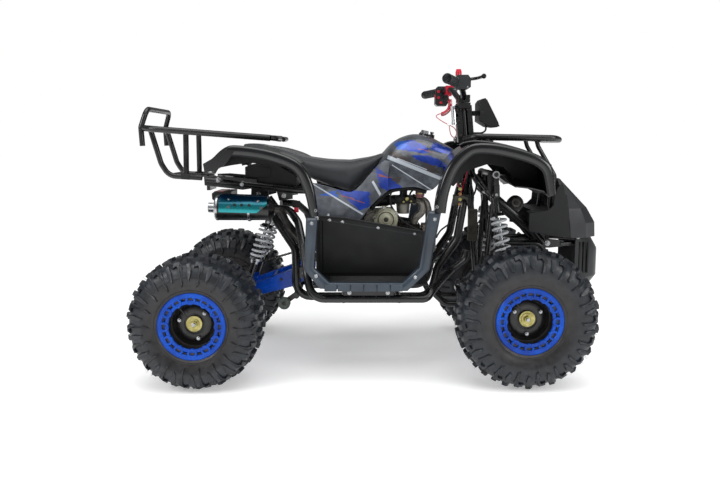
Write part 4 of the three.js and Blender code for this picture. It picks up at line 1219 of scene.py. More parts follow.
# %% Graphic film
BLUE_SHARDS = [
    [(122, 830), (190, 836), (246, 806), (240, 786), (150, 800)], [(176, 782), (250, 780), (326, 742), (316, 728), (200, 766)],
    [(50, 744), (150, 664), (100, 652), (66, 668)], [(-92, 660), (30, 652), (34, 600), (-6, 584)],
    [(262, 828), (326, 806), (330, 780), (250, 800)],
]
SKY_SHARDS = [[(120, 826), (168, 834), (160, 806), (132, 800)], [(-150, 640), (-96, 656), (-80, 632)]]
SILVER_SLASHES = [
    [(98, 781), (290, 703), (290, 690), (94, 768)], [(112, 748), (268, 650), (266, 647), (110, 745)],
    [(-180, 686), (8, 573), (5, 567), (-178, 680)], [(44, 692), (72, 644), (66, 636), (38, 686)],
    [(130, 772), (236, 731), (236, 728), (129, 769)],
]
ORANGE_STREAKS = [
    [(60, 716), (112, 700), (112, 697), (62, 708)], [(-70, 640), (14, 612), (14, 609), (-68, 636)],
    [(204, 806), (262, 792), (262, 790), (206, 802)],
]
PLUM_SHARDS = [
    [(186, 834), (226, 832), (246, 786), (206, 790)], [(96, 790), (126, 796), (186, 756), (130, 764)],
    [(228, 764), (262, 754), (284, 716), (240, 722)], [(74, 690), (150, 706), (130, 672), (90, 668)],
]


def polygon_mask(tree, place, polygon):
    """1 inside a convex polygon of (x, z) points, 0 outside."""
    centre = Vector((sum(x for x, _ in polygon), sum(z for _, z in polygon))) / len(polygon)
    mask = None
    for (x0, z0), (x1, z1) in zip(polygon, polygon[1:] + polygon[:1]):
        normal = Vector((z1 - z0, x0 - x1)).normalized()
        if normal.dot(centre - Vector((x0, z0))) < 0:
            normal = -normal
        inputs = {0: place, 1: (normal.x, 0, normal.y)}
        dot = add_node(tree, "ShaderNodeVectorMath", inputs, operation="DOT_PRODUCT").outputs["Value"]
        limit = normal.x * x0 + normal.y * z0
        side = add_node(tree, "ShaderNodeMath", {0: dot, 1: limit}, operation="GREATER_THAN").outputs[0]
        mask = side if mask is None else add_node(tree, "ShaderNodeMath", {0: mask, 1: side}, operation="MULTIPLY").outputs[0]
    return mask


def any_of(tree, place, polygons):
    total = None
    for polygon in polygons:
        mask = polygon_mask(tree, place, polygon)
        total = mask if total is None else add_node(tree, "ShaderNodeMath", {0: total, 1: mask}, operation="MAXIMUM").outputs[0]
    return total


def graphic_film():
    material, tree, shader, place = new_finish("graphic_film", 0.26, metallic=0.35, coat=0.8)
    settings = {"Vector": place, "Location": (-MID_X * 1000, 0, 0), "Scale": (1000, 1000, 1000)}
    on_quad = add_node(tree, "ShaderNodeMapping", settings).outputs["Vector"]
    brushed = add_node(tree, "ShaderNodeMapping", {"Vector": place, "Scale": (1, 1, 5)}).outputs["Vector"]
    tear = add_node(tree, "ShaderNodeTexNoise", {"Vector": brushed, "Scale": 60, "Detail": 5.0}).outputs["Color"]
    shift = add_node(tree, "ShaderNodeVectorMath", {0: tear, 1: (0.5, 0.5, 0.5)}, operation="SUBTRACT")
    wide = add_node(tree, "ShaderNodeVectorMath", {0: shift.outputs[0], 1: (34, 12, 12)}, operation="MULTIPLY")
    torn = add_node(tree, "ShaderNodeVectorMath", {0: on_quad, 1: wide.outputs[0]}, operation="ADD").outputs[0]
    flakes = spread(tree, mottle(tree, place, 26, 5.0), 0.0, 1.0)
    colour = blend_colours(tree, flakes, linear("363a40"), linear("5a6069"))
    blue = blend_colours(tree, flakes, linear("002478"), linear("033aa8"))
    colour = blend_colours(tree, any_of(tree, torn, PLUM_SHARDS), colour, linear("3f3938"))
    colour = blend_colours(tree, any_of(tree, torn, BLUE_SHARDS), colour, blue)
    colour = blend_colours(tree, any_of(tree, torn, SKY_SHARDS), colour, linear("0f4fae"))
    colour = blend_colours(tree, any_of(tree, torn, ORANGE_STREAKS), colour, linear("8a4436"))
    colour = blend_colours(tree, any_of(tree, on_quad, SILVER_SLASHES), colour, linear("b9c0c9"))
    tree.links.new(colour, shader.inputs["Base Color"])
    roughen(tree, shader, mottle(tree, place, 1.8), 0.008)
    return material


film = graphic_film()
print("graphic film has", len(film.node_tree.nodes), "nodes")

# %% [markdown]
# The tank cover is a shell with a steep nose and a long fall to the seat. Its section is a rounded arch that
# widens downwards. The filler cap stands on top, on the centre line.

# %% Tank cover
TANK_STATIONS = [  # x, top, bottom, half width
    (40, 706, 648, 147), (64, 764, 630, 148), (92, 800, 654, 149), (120, 828, 662, 150), (156, 848, 666, 151), (200, 858, 667, 151),
    (250, 851, 655, 150), (290, 832, 690, 146), (325, 814, 730, 140), (352, 797, 768, 132),
]


def tank_section(top, bottom, half_width, count=24):
    points = []
    for k in range(count + 1):
        angle = math.pi * k / count
        c, s = math.cos(angle), math.sin(angle)
        points.append((-math.copysign(abs(c) ** 0.62, c) * half_width, bottom + (top - bottom) * s ** 0.72))
    return points


bm = bmesh.new()
rows = [[(x, y, z) for y, z in tank_section(t, b, w)] for x, t, b, w in eased(TANK_STATIONS, 4)]
loft(bm, rows, thickness=4)
rod(bm, (246, 0, 845), (248, 0, 858), 30, sides=40, finish=1)
cap = rod(bm, (247, 0, 856), (250, 0, 869), 25, 22, sides=40, finish=2)
for k in range(12):
    angle = math.pi / 6 * k
    x, y = 248 + 24 * math.cos(angle), 24 * math.sin(angle)
    rod(bm, (x, y, 857), (x, y, 866), 2.6, sides=8, finish=2)
hand_over("tank_shell", bm, "chassis", [film, frame_black, bright_steel], stands_for=["tank_cover"], sharp=50)

# %% Side panels
PANEL = [
    (-182, 686), (-126, 672), (-60, 653), (-38, 650), (-18, 660), (4, 682), (31, 714), (58, 746), (84, 764), (102, 760),
    (96, 700), (98, 656), (80, 642), (62, 628), (30, 596), (8, 562), (-36, 514), (-80, 530), (-120, 545), (-158, 562),
]
for side, outward in SIDES.items():
    bm = bmesh.new()
    verts = plate(bm, PANEL, outward * 161, outward * 166)
    outer = max(faces_of(verts), key=lambda face: face.calc_center_median().y * outward)
    bmesh.ops.inset_region(bm, faces=[outer], thickness=9 * MM, depth=2.2 * MM)
    for x, z in ((-118, 566), (-30, 534)):
        bolt(bm, (x, outward * 167, z), (0, outward, 0), 4.5, finish=1)
    hand_over(f"panel_{side}", bm, "chassis", [film, bright_steel], [f"side_panel_{side}"], bevel_mm=1.5)
print("tank cover and side panels made")

# %% [markdown]
# The foot guards are thick slate-grey mouldings, with a broad chamfer and a grip lip cut into short blocks
# under the foot. The footwell behind is a plain grained tray with a ribbed floor, screwed to its frame.

# %% Foot guards
GUARD = [
    (-182, 580), (-190, 407), (-138, 342), (154, 334), (228, 406), (264, 602), (222, 602), (193, 414), (136, 360),
    (-106, 362), (-157, 412), (-144, 580),
]
LIP_BLOCKS = 6
for side, outward in SIDES.items():
    bm = bmesh.new()
    verts = plate(bm, GUARD, outward * 358, outward * 384)
    outer = max(faces_of(verts), key=lambda face: face.calc_center_median().y * outward)
    bmesh.ops.inset_region(bm, faces=[outer], thickness=11 * MM, depth=7 * MM)
    first, last = -124, 140
    step = (last - first) / LIP_BLOCKS
    for k in range(LIP_BLOCKS):
        x = first + step * k
        slab(bm, (x + 1.5, min(outward * 352, outward * 395), 335), (x + step - 1.5, max(outward * 352, outward * 395), 358))
    for x, z in ((-163, 562), (242, 576), (-150, 386), (180, 382)):
        bolt(bm, (x, outward * 390, z), (0, outward, 0), 4.5, finish=1)
    finishes = [guard_slate, bright_steel]
    hand_over(f"guard_{side}", bm, "chassis", finishes, [f"foot_guard_{side}"], bevel_mm=3)
print("foot guards made with", LIP_BLOCKS, "lip blocks")

# %% Footwells
for side, outward in SIDES.items():
    bm = bmesh.new()
    wall = [(-149, 348), (-149, 567), (-60, 560), (228, 510), (228, 348)]
    verts = plate(bm, wall, outward * 198, outward * 203)
    outer = max(faces_of(verts), key=lambda face: face.calc_center_median().y * outward)
    bmesh.ops.inset_region(bm, faces=[outer], thickness=16 * MM)
    bmesh.ops.inset_region(bm, faces=[outer], thickness=2 * MM, depth=-1.8 * MM)
    rolled = [(-149, 567), (-60, 560), (228, 510)]
    tube(bm, [(x, outward * 201, z) for x, z in rolled], 4, bend=30, sides=10)
    slab(bm, (-149, min(outward * 198, outward * 352), 345), (228, max(outward * 198, outward * 352), 351))
    slab(bm, (-152, min(outward * 198, outward * 352), 346), (-148, max(outward * 198, outward * 352), 558))
    for k in range(13):
        y = outward * (216 + 10 * k)
        slab(bm, (-110, y - 2, 350), (195, y + 2, 354))
    for x, z in ((-112, 552), (-66, 546), (60, 524), (190, 502)):
        bolt(bm, (x, outward * 203, z), (0, outward, 0), 4.5, finish=1)
    slab(bm, (0, min(outward * 202, outward * 205), 470), (205, max(outward * 202, outward * 205), 473))
    hand_over(f"well_{side}", bm, "chassis", [well_black, bright_steel], [f"footwell_{side}"], bevel_mm=1.2)
print("footwells made")

# %% [markdown]
# The nose is a faceted cowl over a deep curved guard. Facets are what give moulded plastic its modern look,
# so this loft has few stations and keeps its creases, with only a narrow bevel to catch the light.

# %% Nose
COWL_STATIONS = [  # z, rear x, side y, front x, front y
    (694, 722, 92, 744, 62), (590, 744, 166, 834, 108), (537, 750, 172, 863, 116), (484, 756, 168, 868, 110),
]
GUARD_STATIONS = [  # z, rear x, side y, front x
    (488, 792, 110, 866), (456, 790, 112, 886), (430, 790, 112, 901), (330, 790, 112, 902), (306, 796, 100, 884), (295, 800, 88, 874),
]
bm = bmesh.new()
cowl = []
for z, rear, side_y, front, front_y in COWL_STATIONS:
    shoulder = (rear * 0.45 + front * 0.55, -(side_y * 0.5 + front_y * 0.62), z)
    half = [(rear, -side_y, z), shoulder, (front - 6, -front_y, z), (front, -front_y * 0.5, z), (front + 1, 0, z)]
    cowl.append(across(half))
loft(bm, cowl, thickness=5)
lower = []
for z, rear, side_y, front in GUARD_STATIONS:
    half = []
    for k in range(9):
        angle = math.pi / 2 * (1 - k / 8)
        half.append((rear + (front - rear) * math.cos(angle), -side_y * math.sin(angle), z))
    lower.append(across(half))
loft(bm, lower, thickness=6)
for outward in SIDES.values():
    wing = [(604, 508), (604, 577), (645, 578), (672, 585), (690, 603), (693, 640), (704, 668), (722, 682), (746, 590), (754, 535),
            (756, 486), (700, 490), (650, 500)]
    plate(bm, wing, outward * 164, outward * 168.5, finish=1)
    rib = [(724, 640), (742, 640), (768, 520), (756, 512), (738, 560)]
    plate(bm, rib, outward * 140, outward * 150, finish=1)
    vent = [(806, 470), (812, 470), (812, 336), (806, 336)]
    for k in range(3):
        x = 806 + 16 * k
        y = outward * (112.5 - 0.35 * k * k * 4)
        slab(bm, (x, min(y, y - outward * 6), 345), (x + 7, max(y, y - outward * 6), 462), finish=1)
slab(bm, (640, -164, 575), (724, 164, 580), finish=1)
slab(bm, (719, -164, 500), (724, 164, 576), finish=1)
for outward in SIDES.values():
    slab(bm, (604, min(outward * 120, outward * 165), 575), (641, max(outward * 120, outward * 165), 580), finish=1)
    bolt(bm, (800, outward * 113, 480), (0, outward, 0), 5, finish=2)
finishes = [nose_charcoal, well_black, bright_steel]
hand_over("nose", bm, "chassis", finishes, stands_for=["front_fascia"], bevel_mm=1.5, sharp=20)
print("nose made")

# %% [markdown]
# The rear wheels hang on a swingarm of two box-section legs with a cross tube, painted blue. Each leg is an
# outline pulled across and softened with a bevel, which is how a pressed leg looks.

# %% Swingarm
AXLE = (REAR_X, REAR_AXLE_Z)
LEG = [
    (-588, 207), (-588, 250), (-520, 261), (-385, 309), (-242, 360), (-222, 373), (-196, 373),
    (-180, 358), (-180, 337), (-196, 322), (-251, 292), (-371, 261), (-520, 207),
]
blue_enamel = mottled_finish("blue_enamel", "00318c", "034cbc", 0.3, 1.2, 0.02, patch_mm=45, coat=0.2, specular=0.3)
bm = bmesh.new()
for side in SIDES.values():
    plate(bm, LEG, side * 57, side * 88)
    bolt(bm, (PIVOT[0], side * 90, PIVOT[1]), (0, side, 0), 11, finish=1)
    rod(bm, (AXLE[0] + 14, side * 88, AXLE[1]), (AXLE[0] + 14, side * 92, AXLE[1]), 26, sides=28, finish=1)
    for x, z in ((-560, 240), (-545, 218), (-420, 284), (-300, 318)):
        rod(bm, (x, side * 88, z), (x, side * 90.5, z), 6, sides=14, finish=1)
    low, high = sorted((side * 86, side * 130))
    slab(bm, (-448, low, 276), (-398, high, 284))
    plate(bm, [(-440, 284), (-437, 312), (-408, 312), (-404, 284)], side * 96, side * 101)
    bolt(bm, (-423, side * 131, 302), (0, side, 0), 7, finish=1)
rod(bm, (-300, -57, 312), (-300, 57, 312), 15)
for x, z in ((-420, 300), (-330, 334)):
    rod(bm, (x, -57, z - 14), (x, 57, z - 14), 8)
finishes = [blue_enamel, dark_steel]
hand_over("trailing_arm", bm, "chassis", finishes, stands_for=["swingarm"], bevel_mm=2.5)
print("swingarm made from an outline of", len(LEG), "corners")

# %% [markdown]
# The chain is the same link again and again. One link is two side plates and a roller, and the links stand
# in a line that wraps round both sprockets. Narrow and wide plates take turns, as on a real roller chain.

# %% Drive chain
CHAIN_SIDE = 32  # across from the middle
OUTPUT = (-25, 440)
REAR_CHAIN, FRONT_CHAIN = 86, 30  # radii at the rollers


def chain_loop():
    """The closed line of the rollers, in (x, z)."""
    span = Vector((OUTPUT[0] - AXLE[0], OUTPUT[1] - AXLE[1]))
    angle, lean = math.atan2(span.y, span.x), math.acos((REAR_CHAIN - FRONT_CHAIN) / span.length)
    line = []
    rear_arc = (AXLE, REAR_CHAIN, angle + lean, angle + 2 * math.pi - lean)
    for centre, radius, start, end in (rear_arc, (OUTPUT, FRONT_CHAIN, angle - lean, angle + lean)):
        for k in range(41):
            turn = start + (end - start) * k / 40
            line.append(Vector((centre[0] + radius * math.cos(turn), centre[1] + radius * math.sin(turn))))
    return line + line[:1]


def spaced(line, pitch):
    """Points a whole number of even pitches apart along a closed line."""
    reach = [0.0]
    for a, b in zip(line, line[1:]):
        reach.append(reach[-1] + (b - a).length)
    count = round(reach[-1] / pitch / 2) * 2
    points, i = [], 0
    for k in range(count):
        goal = reach[-1] * k / count
        while reach[i + 1] < goal:
            i += 1
        points.append(line[i].lerp(line[i + 1], (goal - reach[i]) / (reach[i + 1] - reach[i])))
    return points


def link_plate(bm, a, b, y0, y1, finish):
    along = (b - a).normalized()
    up = Vector((-along.y, along.x))
    steps = ((-3.6, 0), (-2.4, 3.4), (0, 4.4), (3, 3.6), (6, 3.2), (9.7, 3.6), (12.7, 4.4), (15.1, 3.4), (16.3, 0))
    ring = [a + along * s + up * h for s, h in steps] + [a + along * s - up * h for s, h in steps[-2:0:-1]]
    plate(bm, [tuple(p) for p in ring], y0, y1, finish)


bm = bmesh.new()
rollers = spaced(chain_loop(), 12.7)
for k, (a, b) in enumerate(zip(rollers, rollers[1:] + rollers[:1])):
    gap = 2.9 + 1.3 * (k % 2)
    for way in (-1, 1):
        link_plate(bm, a, b, CHAIN_SIDE + way * gap, CHAIN_SIDE + way * (gap + 1.2), 0)
    rod(bm, (a.x, CHAIN_SIDE - 5.6, a.y), (a.x, CHAIN_SIDE + 5.6, a.y), 1.9, sides=8, finish=1)
    rod(bm, (a.x, CHAIN_SIDE - 2.6, a.y), (a.x, CHAIN_SIDE + 2.6, a.y), 3.6, sides=8, finish=1)
hand_over("roller_chain", bm, "chassis", [dark_steel, bright_steel], stands_for=["drive_chain"])
print("chain made,", len(rollers), "links")

# %% [markdown]
# The live axle carries both rear hubs, the sprocket and the brake disc, so they are one piece that turns.
# Sprocket teeth are cut from one outline, and the disc's holes are short dark pins set through it.

# %% Rear axle


def toothed(centre, radius, depth, teeth):
    """The outline of a sprocket, four points to a tooth."""
    points = []
    for k in range(teeth * 4):
        turn = 2 * math.pi * k / (teeth * 4)
        reach = radius + (depth if k % 4 in (1, 2) else 0)
        points.append((centre[0] + reach * math.cos(turn), centre[1] + reach * math.sin(turn)))
    return points


bm = bmesh.new()
inner_face = 345 + 120.6 - 24 - 50  # of the wheel discs, from the middle
rod(bm, (AXLE[0], -inner_face - 12, AXLE[1]), (AXLE[0], inner_face + 12, AXLE[1]), 14.5, sides=32)
for side in SIDES.values():
    centre = (AXLE[0], 0, AXLE[1])
    hub = [(15, 262), (30, 264), (32, 270), (32, 340), (26, 352), (24, inner_face - 14), (26, inner_face - 9), (15, inner_face - 9)]
    turned(bm, hub, centre, side)
    turned(bm, [(15, 100), (27, 102), (29, 108), (29, 128), (22, 132), (20, 180), (15, 182)], centre, side)
    cap = [(0.4, inner_face + 8.2), (18, inner_face + 8.2), (24, inner_face + 4), (25, inner_face + 0.8), (0.4, inner_face + 0.8)]
    paint(turned(bm, cap, centre, side, steps=32), 1)
    rod(bm, (AXLE[0], side * (inner_face + 4), AXLE[1]), (AXLE[0], side * (inner_face + 12), AXLE[1]), 14, sides=6, finish=1)
plate(bm, toothed(AXLE, 80, 3.5, 40), CHAIN_SIDE - 2.2, CHAIN_SIDE + 2.2, finish=1)
for low, high, radius in ((CHAIN_SIDE + 2, CHAIN_SIDE + 5, 62), (CHAIN_SIDE - 14, CHAIN_SIDE - 2, 34)):
    rod(bm, (AXLE[0], low, AXLE[1]), (AXLE[0], high, AXLE[1]), radius, sides=40)
rod(bm, (AXLE[0], -CHAIN_SIDE - 1.8, AXLE[1]), (AXLE[0], -CHAIN_SIDE + 1.8, AXLE[1]), 78, sides=56, finish=1)
rod(bm, (AXLE[0], -CHAIN_SIDE + 2, AXLE[1]), (AXLE[0], -CHAIN_SIDE + 14, AXLE[1]), 40, sides=32)
for k in range(24):
    turn = k * math.pi / 12
    reach = 62 + 6 * (k % 2)
    x, z = AXLE[0] + reach * math.cos(turn), AXLE[1] + reach * math.sin(turn)
    rod(bm, (x, -CHAIN_SIDE - 2, z), (x, -CHAIN_SIDE + 2, z), 3, sides=10)
for k in range(5):
    turn = k * math.tau / 5
    x, z = AXLE[0] + 48 * math.cos(turn), AXLE[1] + 48 * math.sin(turn)
    bolt(bm, (x, CHAIN_SIDE + 5, z), (0, 1, 0), 4.5)
hand_over("live_axle", bm, "rear_wheels", [dark_steel, bright_steel], stands_for=["rear_axle"], bevel_mm=0.3)
print("rear axle made")

# %% [markdown]
# Each front wheel is held by two wishbones of bent tube, and turns on a forged knuckle between their ball
# joints. The tie rod runs from the arm on the steering column to the arm on the knuckle.

# %% Wishbones
KINGPIN = 255
for side, outward in SIDES.items():
    bm = bmesh.new()
    kingpin = outward * (KINGPIN - 5)
    legs = [
        [(496, outward * 92, 220), (505, outward * 190, 192), (552, kingpin, 166)],
        [(620, outward * 92, 220), (607, outward * 190, 192), (558, kingpin, 166)],
    ]
    tubes(bm, legs, 11, bend=30)
    rod(bm, (505, outward * 185, 194), (607, outward * 185, 194), 8)
    low, high = sorted((outward * 176, outward * 200))
    slab(bm, (529, low, 191), (561, high, 207))
    for y0, y1, wall in ((170, 176, 0), (204, 210, 0)):
        plate(bm, [(532, 196), (533, 232), (545, 238), (557, 232), (558, 196)], outward * y0, outward * y1)
    bolt(bm, (545, outward * 209, 224), (0, outward, 0), 6, finish=1)
    rod(bm, (FRONT_X, outward * KINGPIN, 155), (FRONT_X, outward * KINGPIN, 181), 16, sides=28)
    rod(bm, (FRONT_X, outward * KINGPIN, 152.5), (FRONT_X, outward * KINGPIN, 155), 12, sides=24, finish=1)
    for x in (478, 602):
        rod(bm, (x, outward * 75, 222), (x + 36, outward * 75, 222), 19.5, sides=28)
    name = f"wishbone_lower_{side}"
    hand_over(name, bm, "chassis", [blue_enamel, dark_steel], [f"front_lower_arm_{side}"], bevel_mm=0.5)
    bm = bmesh.new()
    legs = [
        [(497, outward * 108, 345), (496, outward * 200, 338), (547, kingpin, 327)],
        [(616, outward * 108, 345), (606, outward * 200, 338), (563, kingpin, 327)],
    ]
    tubes(bm, legs, 10, bend=30)
    rod(bm, (FRONT_X, outward * KINGPIN, 317), (FRONT_X, outward * KINGPIN, 337), 15.5, sides=28)
    rod(bm, (FRONT_X, outward * KINGPIN, 337), (FRONT_X, outward * KINGPIN, 338), 9, sides=6, finish=1)
    for x in (486, 602):
        rod(bm, (x, outward * 92, 345), (x + 28, outward * 92, 345), 17, sides=28)
    name = f"wishbone_upper_{side}"
    hand_over(name, bm, "chassis", [frame_black, dark_steel], [f"front_upper_arm_{side}"], bevel_mm=0.5)

# %% Knuckles and tie rods
PITMAN = 75
for side, outward in SIDES.items():
    bm = bmesh.new()
    y = outward * KINGPIN
    rod(bm, (FRONT_X, y, 190), (FRONT_X, y, 308), 13.5, sides=28)
    rod(bm, (FRONT_X, y, 184), (FRONT_X, y, 314), 8, sides=20, finish=1)
    for z in (196, 296):
        rod(bm, (FRONT_X, y, z - 5), (FRONT_X, y, z + 5), 15, sides=28)
    spindle_end = outward * (361 + 89 - 24 - 50 + 8 - 4)
    rod(bm, (FRONT_X, y, FRONT_AXLE_Z), (FRONT_X, spindle_end, FRONT_AXLE_Z), 13.5, sides=28, finish=1)
    rod(bm, (FRONT_X, outward * 266, FRONT_AXLE_Z), (FRONT_X, outward * 276, FRONT_AXLE_Z), 19, 15, sides=28)
    arm = [(FRONT_X + 4, 259), (FRONT_X - PITMAN - 6, 260), (FRONT_X - PITMAN - 6, 270), (FRONT_X + 4, 271)]
    arm_y = outward * (KINGPIN + 8)
    verts = plate(bm, arm, arm_y - 8, arm_y + 8)
    rod(bm, (FRONT_X - PITMAN, y + outward * 16, 258.5), (FRONT_X - PITMAN, y + outward * 16, 272), 10, sides=20)
    bmesh.ops.recalc_face_normals(bm, faces=bm.faces)
    hand_over(f"stub_axle_{side}", bm, f"knuckle_{side}", [cast_alloy, bright_steel], [f"knuckle_{side}"], bevel_mm=0.6)
    bm = bmesh.new()
    inner = Vector((steering_spot(288)[0] - PITMAN, outward * 16, 288))
    outer = Vector((FRONT_X - PITMAN, outward * (KINGPIN + 16), 288))
    along = (outer - inner).normalized()
    rod(bm, inner, outer, 5.5, sides=20)
    for start, way in ((inner, 1), (outer, -1)):
        rod(bm, start + along * way * 22, start + along * way * 30, 8, sides=6)
        rod(bm, start + Vector((0, 0, -5.8)), start + Vector((0, 0, 5.8)), 5.9, sides=20, finish=1)
    hand_over(f"track_rod_{side}", bm, f"tie_rod_{side}", [bright_steel, dark_steel], [f"tie_rod_{side}"], bevel_mm=0.3)
print("wishbones, knuckles and tie rods made")

# %% [markdown]
# The engine is a small single with its cylinder lying nearly flat, so its fins stand up like a row of plates.
# Castings are outlines pulled across and rounded with a wide bevel, and everything round is turned.

# %% Engine cases
CASE = [(22, 572), (16, 470), (42, 413), (126, 406), (136, 430), (136, 535), (122, 578)]
MAGNETO = (92, 0, 545)
bm = bmesh.new()
plate(bm, CASE, -68, -3)
plate(bm, CASE, 1, 64)
plate(bm, [(x * 0.985 + 1.2, z * 0.985 + 7.4) for x, z in CASE], -4, 2, finish=2)
cover = [
    (0.4, 111), (14, 111), (15, 108), (33, 107.5), (36, 104), (37, 99), (41, 97), (44, 93), (45, 88), (45, 66), (0.4, 66),
]
paint(turned(bm, cover, MAGNETO, -1, steps=64), 1)
paint(turned(bm, [(26.5, 111.8), (29.5, 111.8), (29.5, 107), (26.5, 107)], MAGNETO, -1, steps=48), 2)
rod(bm, (MAGNETO[0], -110, MAGNETO[2]), (MAGNETO[0], -113, MAGNETO[2]), 7.5, sides=24, finish=1)
paint(turned(bm, [(7.5, 112), (9, 112), (9, 110.6), (7.5, 110.6)], MAGNETO, -1, steps=32), 2)
for k in range(5):
    turn = k * math.tau / 5 + 0.5
    x, z = MAGNETO[0] + 42 * math.cos(turn), MAGNETO[2] + 42 * math.sin(turn)
    rod(bm, (x, -66, z), (x, -95, z), 8, sides=20, finish=1)
    bolt(bm, (x, -96, z), (0, -1, 0), 3.6, finish=3)
rod(bm, (50, -60, 530), (50, -84, 530), 42, 37, sides=40)
clutch = [(0.4, 91), (30, 91), (36, 88), (48, 87), (53, 82), (54, 66), (0.4, 66)]
turned(bm, clutch, (84, 0, 480), 1, steps=56)
for k in range(6):
    turn = k * math.tau / 6
    bolt(bm, (84 + 46 * math.cos(turn), 86, 480 + 46 * math.sin(turn)), (0, 1, 0), 3.6, finish=3)
for x, z in ((30, 480), (32, 545), (52, 424), (104, 420), (124, 470), (58, 566)):
    bolt(bm, (x, -68, z), (0, -1, 0), 3.8, finish=3)
rod(bm, (80, -68, 455), (80, -84, 455), 30, sides=36)
rod(bm, (80, -84, 455), (80, -88, 455), 14, sides=6, finish=3)
for x in (26, 96):
    slab(bm, (x + 2, -38, 274), (x + 28, 38, 420), finish=2)
slab(bm, (-36, 47, 426), (30, 63, 454))
rod(bm, (OUTPUT[0], 28, OUTPUT[1]), (OUTPUT[0], 50, OUTPUT[1]), 9, finish=3)
plate(bm, toothed(OUTPUT, 18, 3, 14), 29, 36, finish=2)
rod(bm, (20, -40, 520), (-14, -40, 528), 17, sides=28, finish=2)  # starter motor
rod(bm, (-14, -40, 528), (-20, -40, 529.5), 13, sides=28, finish=3)
dark_alloy = mottled_finish("dark_alloy", "3a3833", "5d584f", 0.5, 1.6, 0.12, patch_mm=30, metallic=0.6)
finishes = [cast_alloy, cream_cover, dark_alloy, bright_steel]
hand_over("engine_cases", bm, "chassis", finishes, stands_for=["engine_block"], bevel_mm=2)

# %% Cylinder and head
bm = bmesh.new()


def along_bore(t, y=0, lift=0):
    return (139 + t * 100, y, 482 - t * 12 + lift)


rod(bm, along_bore(0), along_bore(0.96), 33, sides=40, finish=1)
for k in range(9):
    x, y, z = along_bore(0.08 + k * 0.094)
    fin = [(-40, -50), (40, -50), (52, -38), (52, 38), (40, 48), (-40, 48), (-52, 38), (-52, -38)]
    face = bm.faces.new([bm.verts.new(spot(x - 1.3, y + a, z + b)) for a, b in fin])
    made = bmesh.ops.extrude_face_region(bm, geom=[face])["geom"]
    verts = [g for g in made if isinstance(g, bmesh.types.BMVert)]
    bmesh.ops.translate(bm, vec=Vector((2.6 * MM, 0, 0)), verts=verts)
    paint(faces_of(verts), 1)
slab(bm, (233, -44, 420), (283, 44, 518))
for z in (434, 452, 470, 488, 506):
    slab(bm, (229, -46, z - 1.5), (280, 46, z + 1.5))
for y in (-46, 40):
    rod(bm, (262, y, 480), (262, y + 6, 480), 20, sides=32)
bolt(bm, (262, -46, 480), (0, -1, 0), 5, finish=2)
for y, z in ((-32, 432), (32, 432), (-32, 506), (32, 506)):
    bolt(bm, (283, y, z), (1, 0, 0), 4, finish=2)
rod(bm, (250, -44, 446), (250, -53.5, 443), 6, sides=6, finish=2)  # spark plug
head_alloy = mottled_finish("head_alloy", "6b6257", "9a8f80", 0.48, 1.6, 0.1, patch_mm=25, metallic=0.65)
hand_over("cylinder", bm, "chassis", [head_alloy, dark_alloy, bright_steel], ["engine_cylinder"], bevel_mm=1)
print("engine made")

# %% Carburettor, its filter and the intake elbow
bm = bmesh.new()
turned_bowl = [(161, -14, 573), (161, -14, 598)]
rod(bm, *turned_bowl, 23, 24.5, sides=32)
rod(bm, (161, -14, 598), (161, -14, 602), 25, sides=32, finish=1)
rod(bm, (161, -14, 602), (161, -14, 630), 19, sides=32)
rod(bm, (161, -14, 630), (161, -14, 650), 14.5, sides=32, finish=2)
rod(bm, (161, -14, 650), (161, -14, 656), 9, 5, sides=24, finish=2)
rod(bm, (118, -14, 614), (204, -14, 614), 16, sides=32)
rod(bm, (196, -14, 614), (204, -14, 614), 19, sides=32, finish=1)
rod(bm, (150, -40, 612), (150, -32, 612), 5, sides=6, finish=3)
rod(bm, (172, -39, 606), (172, -30, 606), 4, sides=12, finish=3)
rod(bm, (161, -39, 588), (161, -32, 588), 6, sides=6, finish=3)
elbow = [(200, -14, 614), (246, -14, 610), (256, -14, 574), (258, -14, 545), (258, -14, 521)]
tube(bm, elbow, 13, bend=40, sides=24, finish=1, steps=10)
rod(bm, (258, -14, 521), (258, -14, 528), 13.9, sides=28, finish=1)
rod(bm, (50, -14, 608), (98, -14, 610), 23.5, sides=40, finish=2)
for k in range(7):
    rod(bm, (53 + k * 6.5, -14, 608), (56 + k * 6.5, -14, 608), 24, sides=40, finish=2)
rod(bm, (98, -14, 610), (118, -14, 611), 23, 17, sides=32, finish=4)
wire(bm, curve_through([(161, -14, 655), (165, -14, 672), (182, -30, 690), (212, -50, 690)], 8), 3, finish=2)
rod(bm, (158, -40, 562), (158, -40, 598), 23, 26, sides=32, finish=1)
rod(bm, (158, -40, 598), (158, -40, 603), 29, sides=32)
slab(bm, (128, -66, 603), (196, -30, 628), finish=2)
for x, z, radius, kind in ((143, 616, 9, 2), (171, 619, 7, 3), (186, 610, 4, 3), (158, 608, 4, 3)):
    rod(bm, (x, -64, z), (x, -74, z), radius, sides=20, finish=kind)
rod(bm, (110, -44, 612), (128, -44, 612), 18, sides=32, finish=2)
rod(bm, (196, -44, 612), (207, -44, 612), 19, sides=32, finish=2)
elbow = [(204, -44, 612), (233, -44, 602), (229, -44, 566), (206, -40, 546), (200, -30, 528)]
tube(bm, elbow, 14.5, bend=26, sides=24, finish=1, steps=8)
rod(bm, (219, -52, 622), (219, -52, 656), 15.5, sides=28, finish=5)
rod(bm, (219, -52, 636), (219, -52, 641), 16, sides=28, finish=3)
HOSES = [
    [(113, -70, 650), (108, -76, 618), (116, -80, 586), (158, -84, 536), (223, -76, 500)],
    [(150, -70, 628), (152, -78, 650), (120, -72, 666)],
    [(180, -66, 628), (186, -78, 646), (206, -70, 662)],
]
for hose in HOSES:
    wire(bm, curve_through(hose, 8), 3.4, sides=10, finish=4)
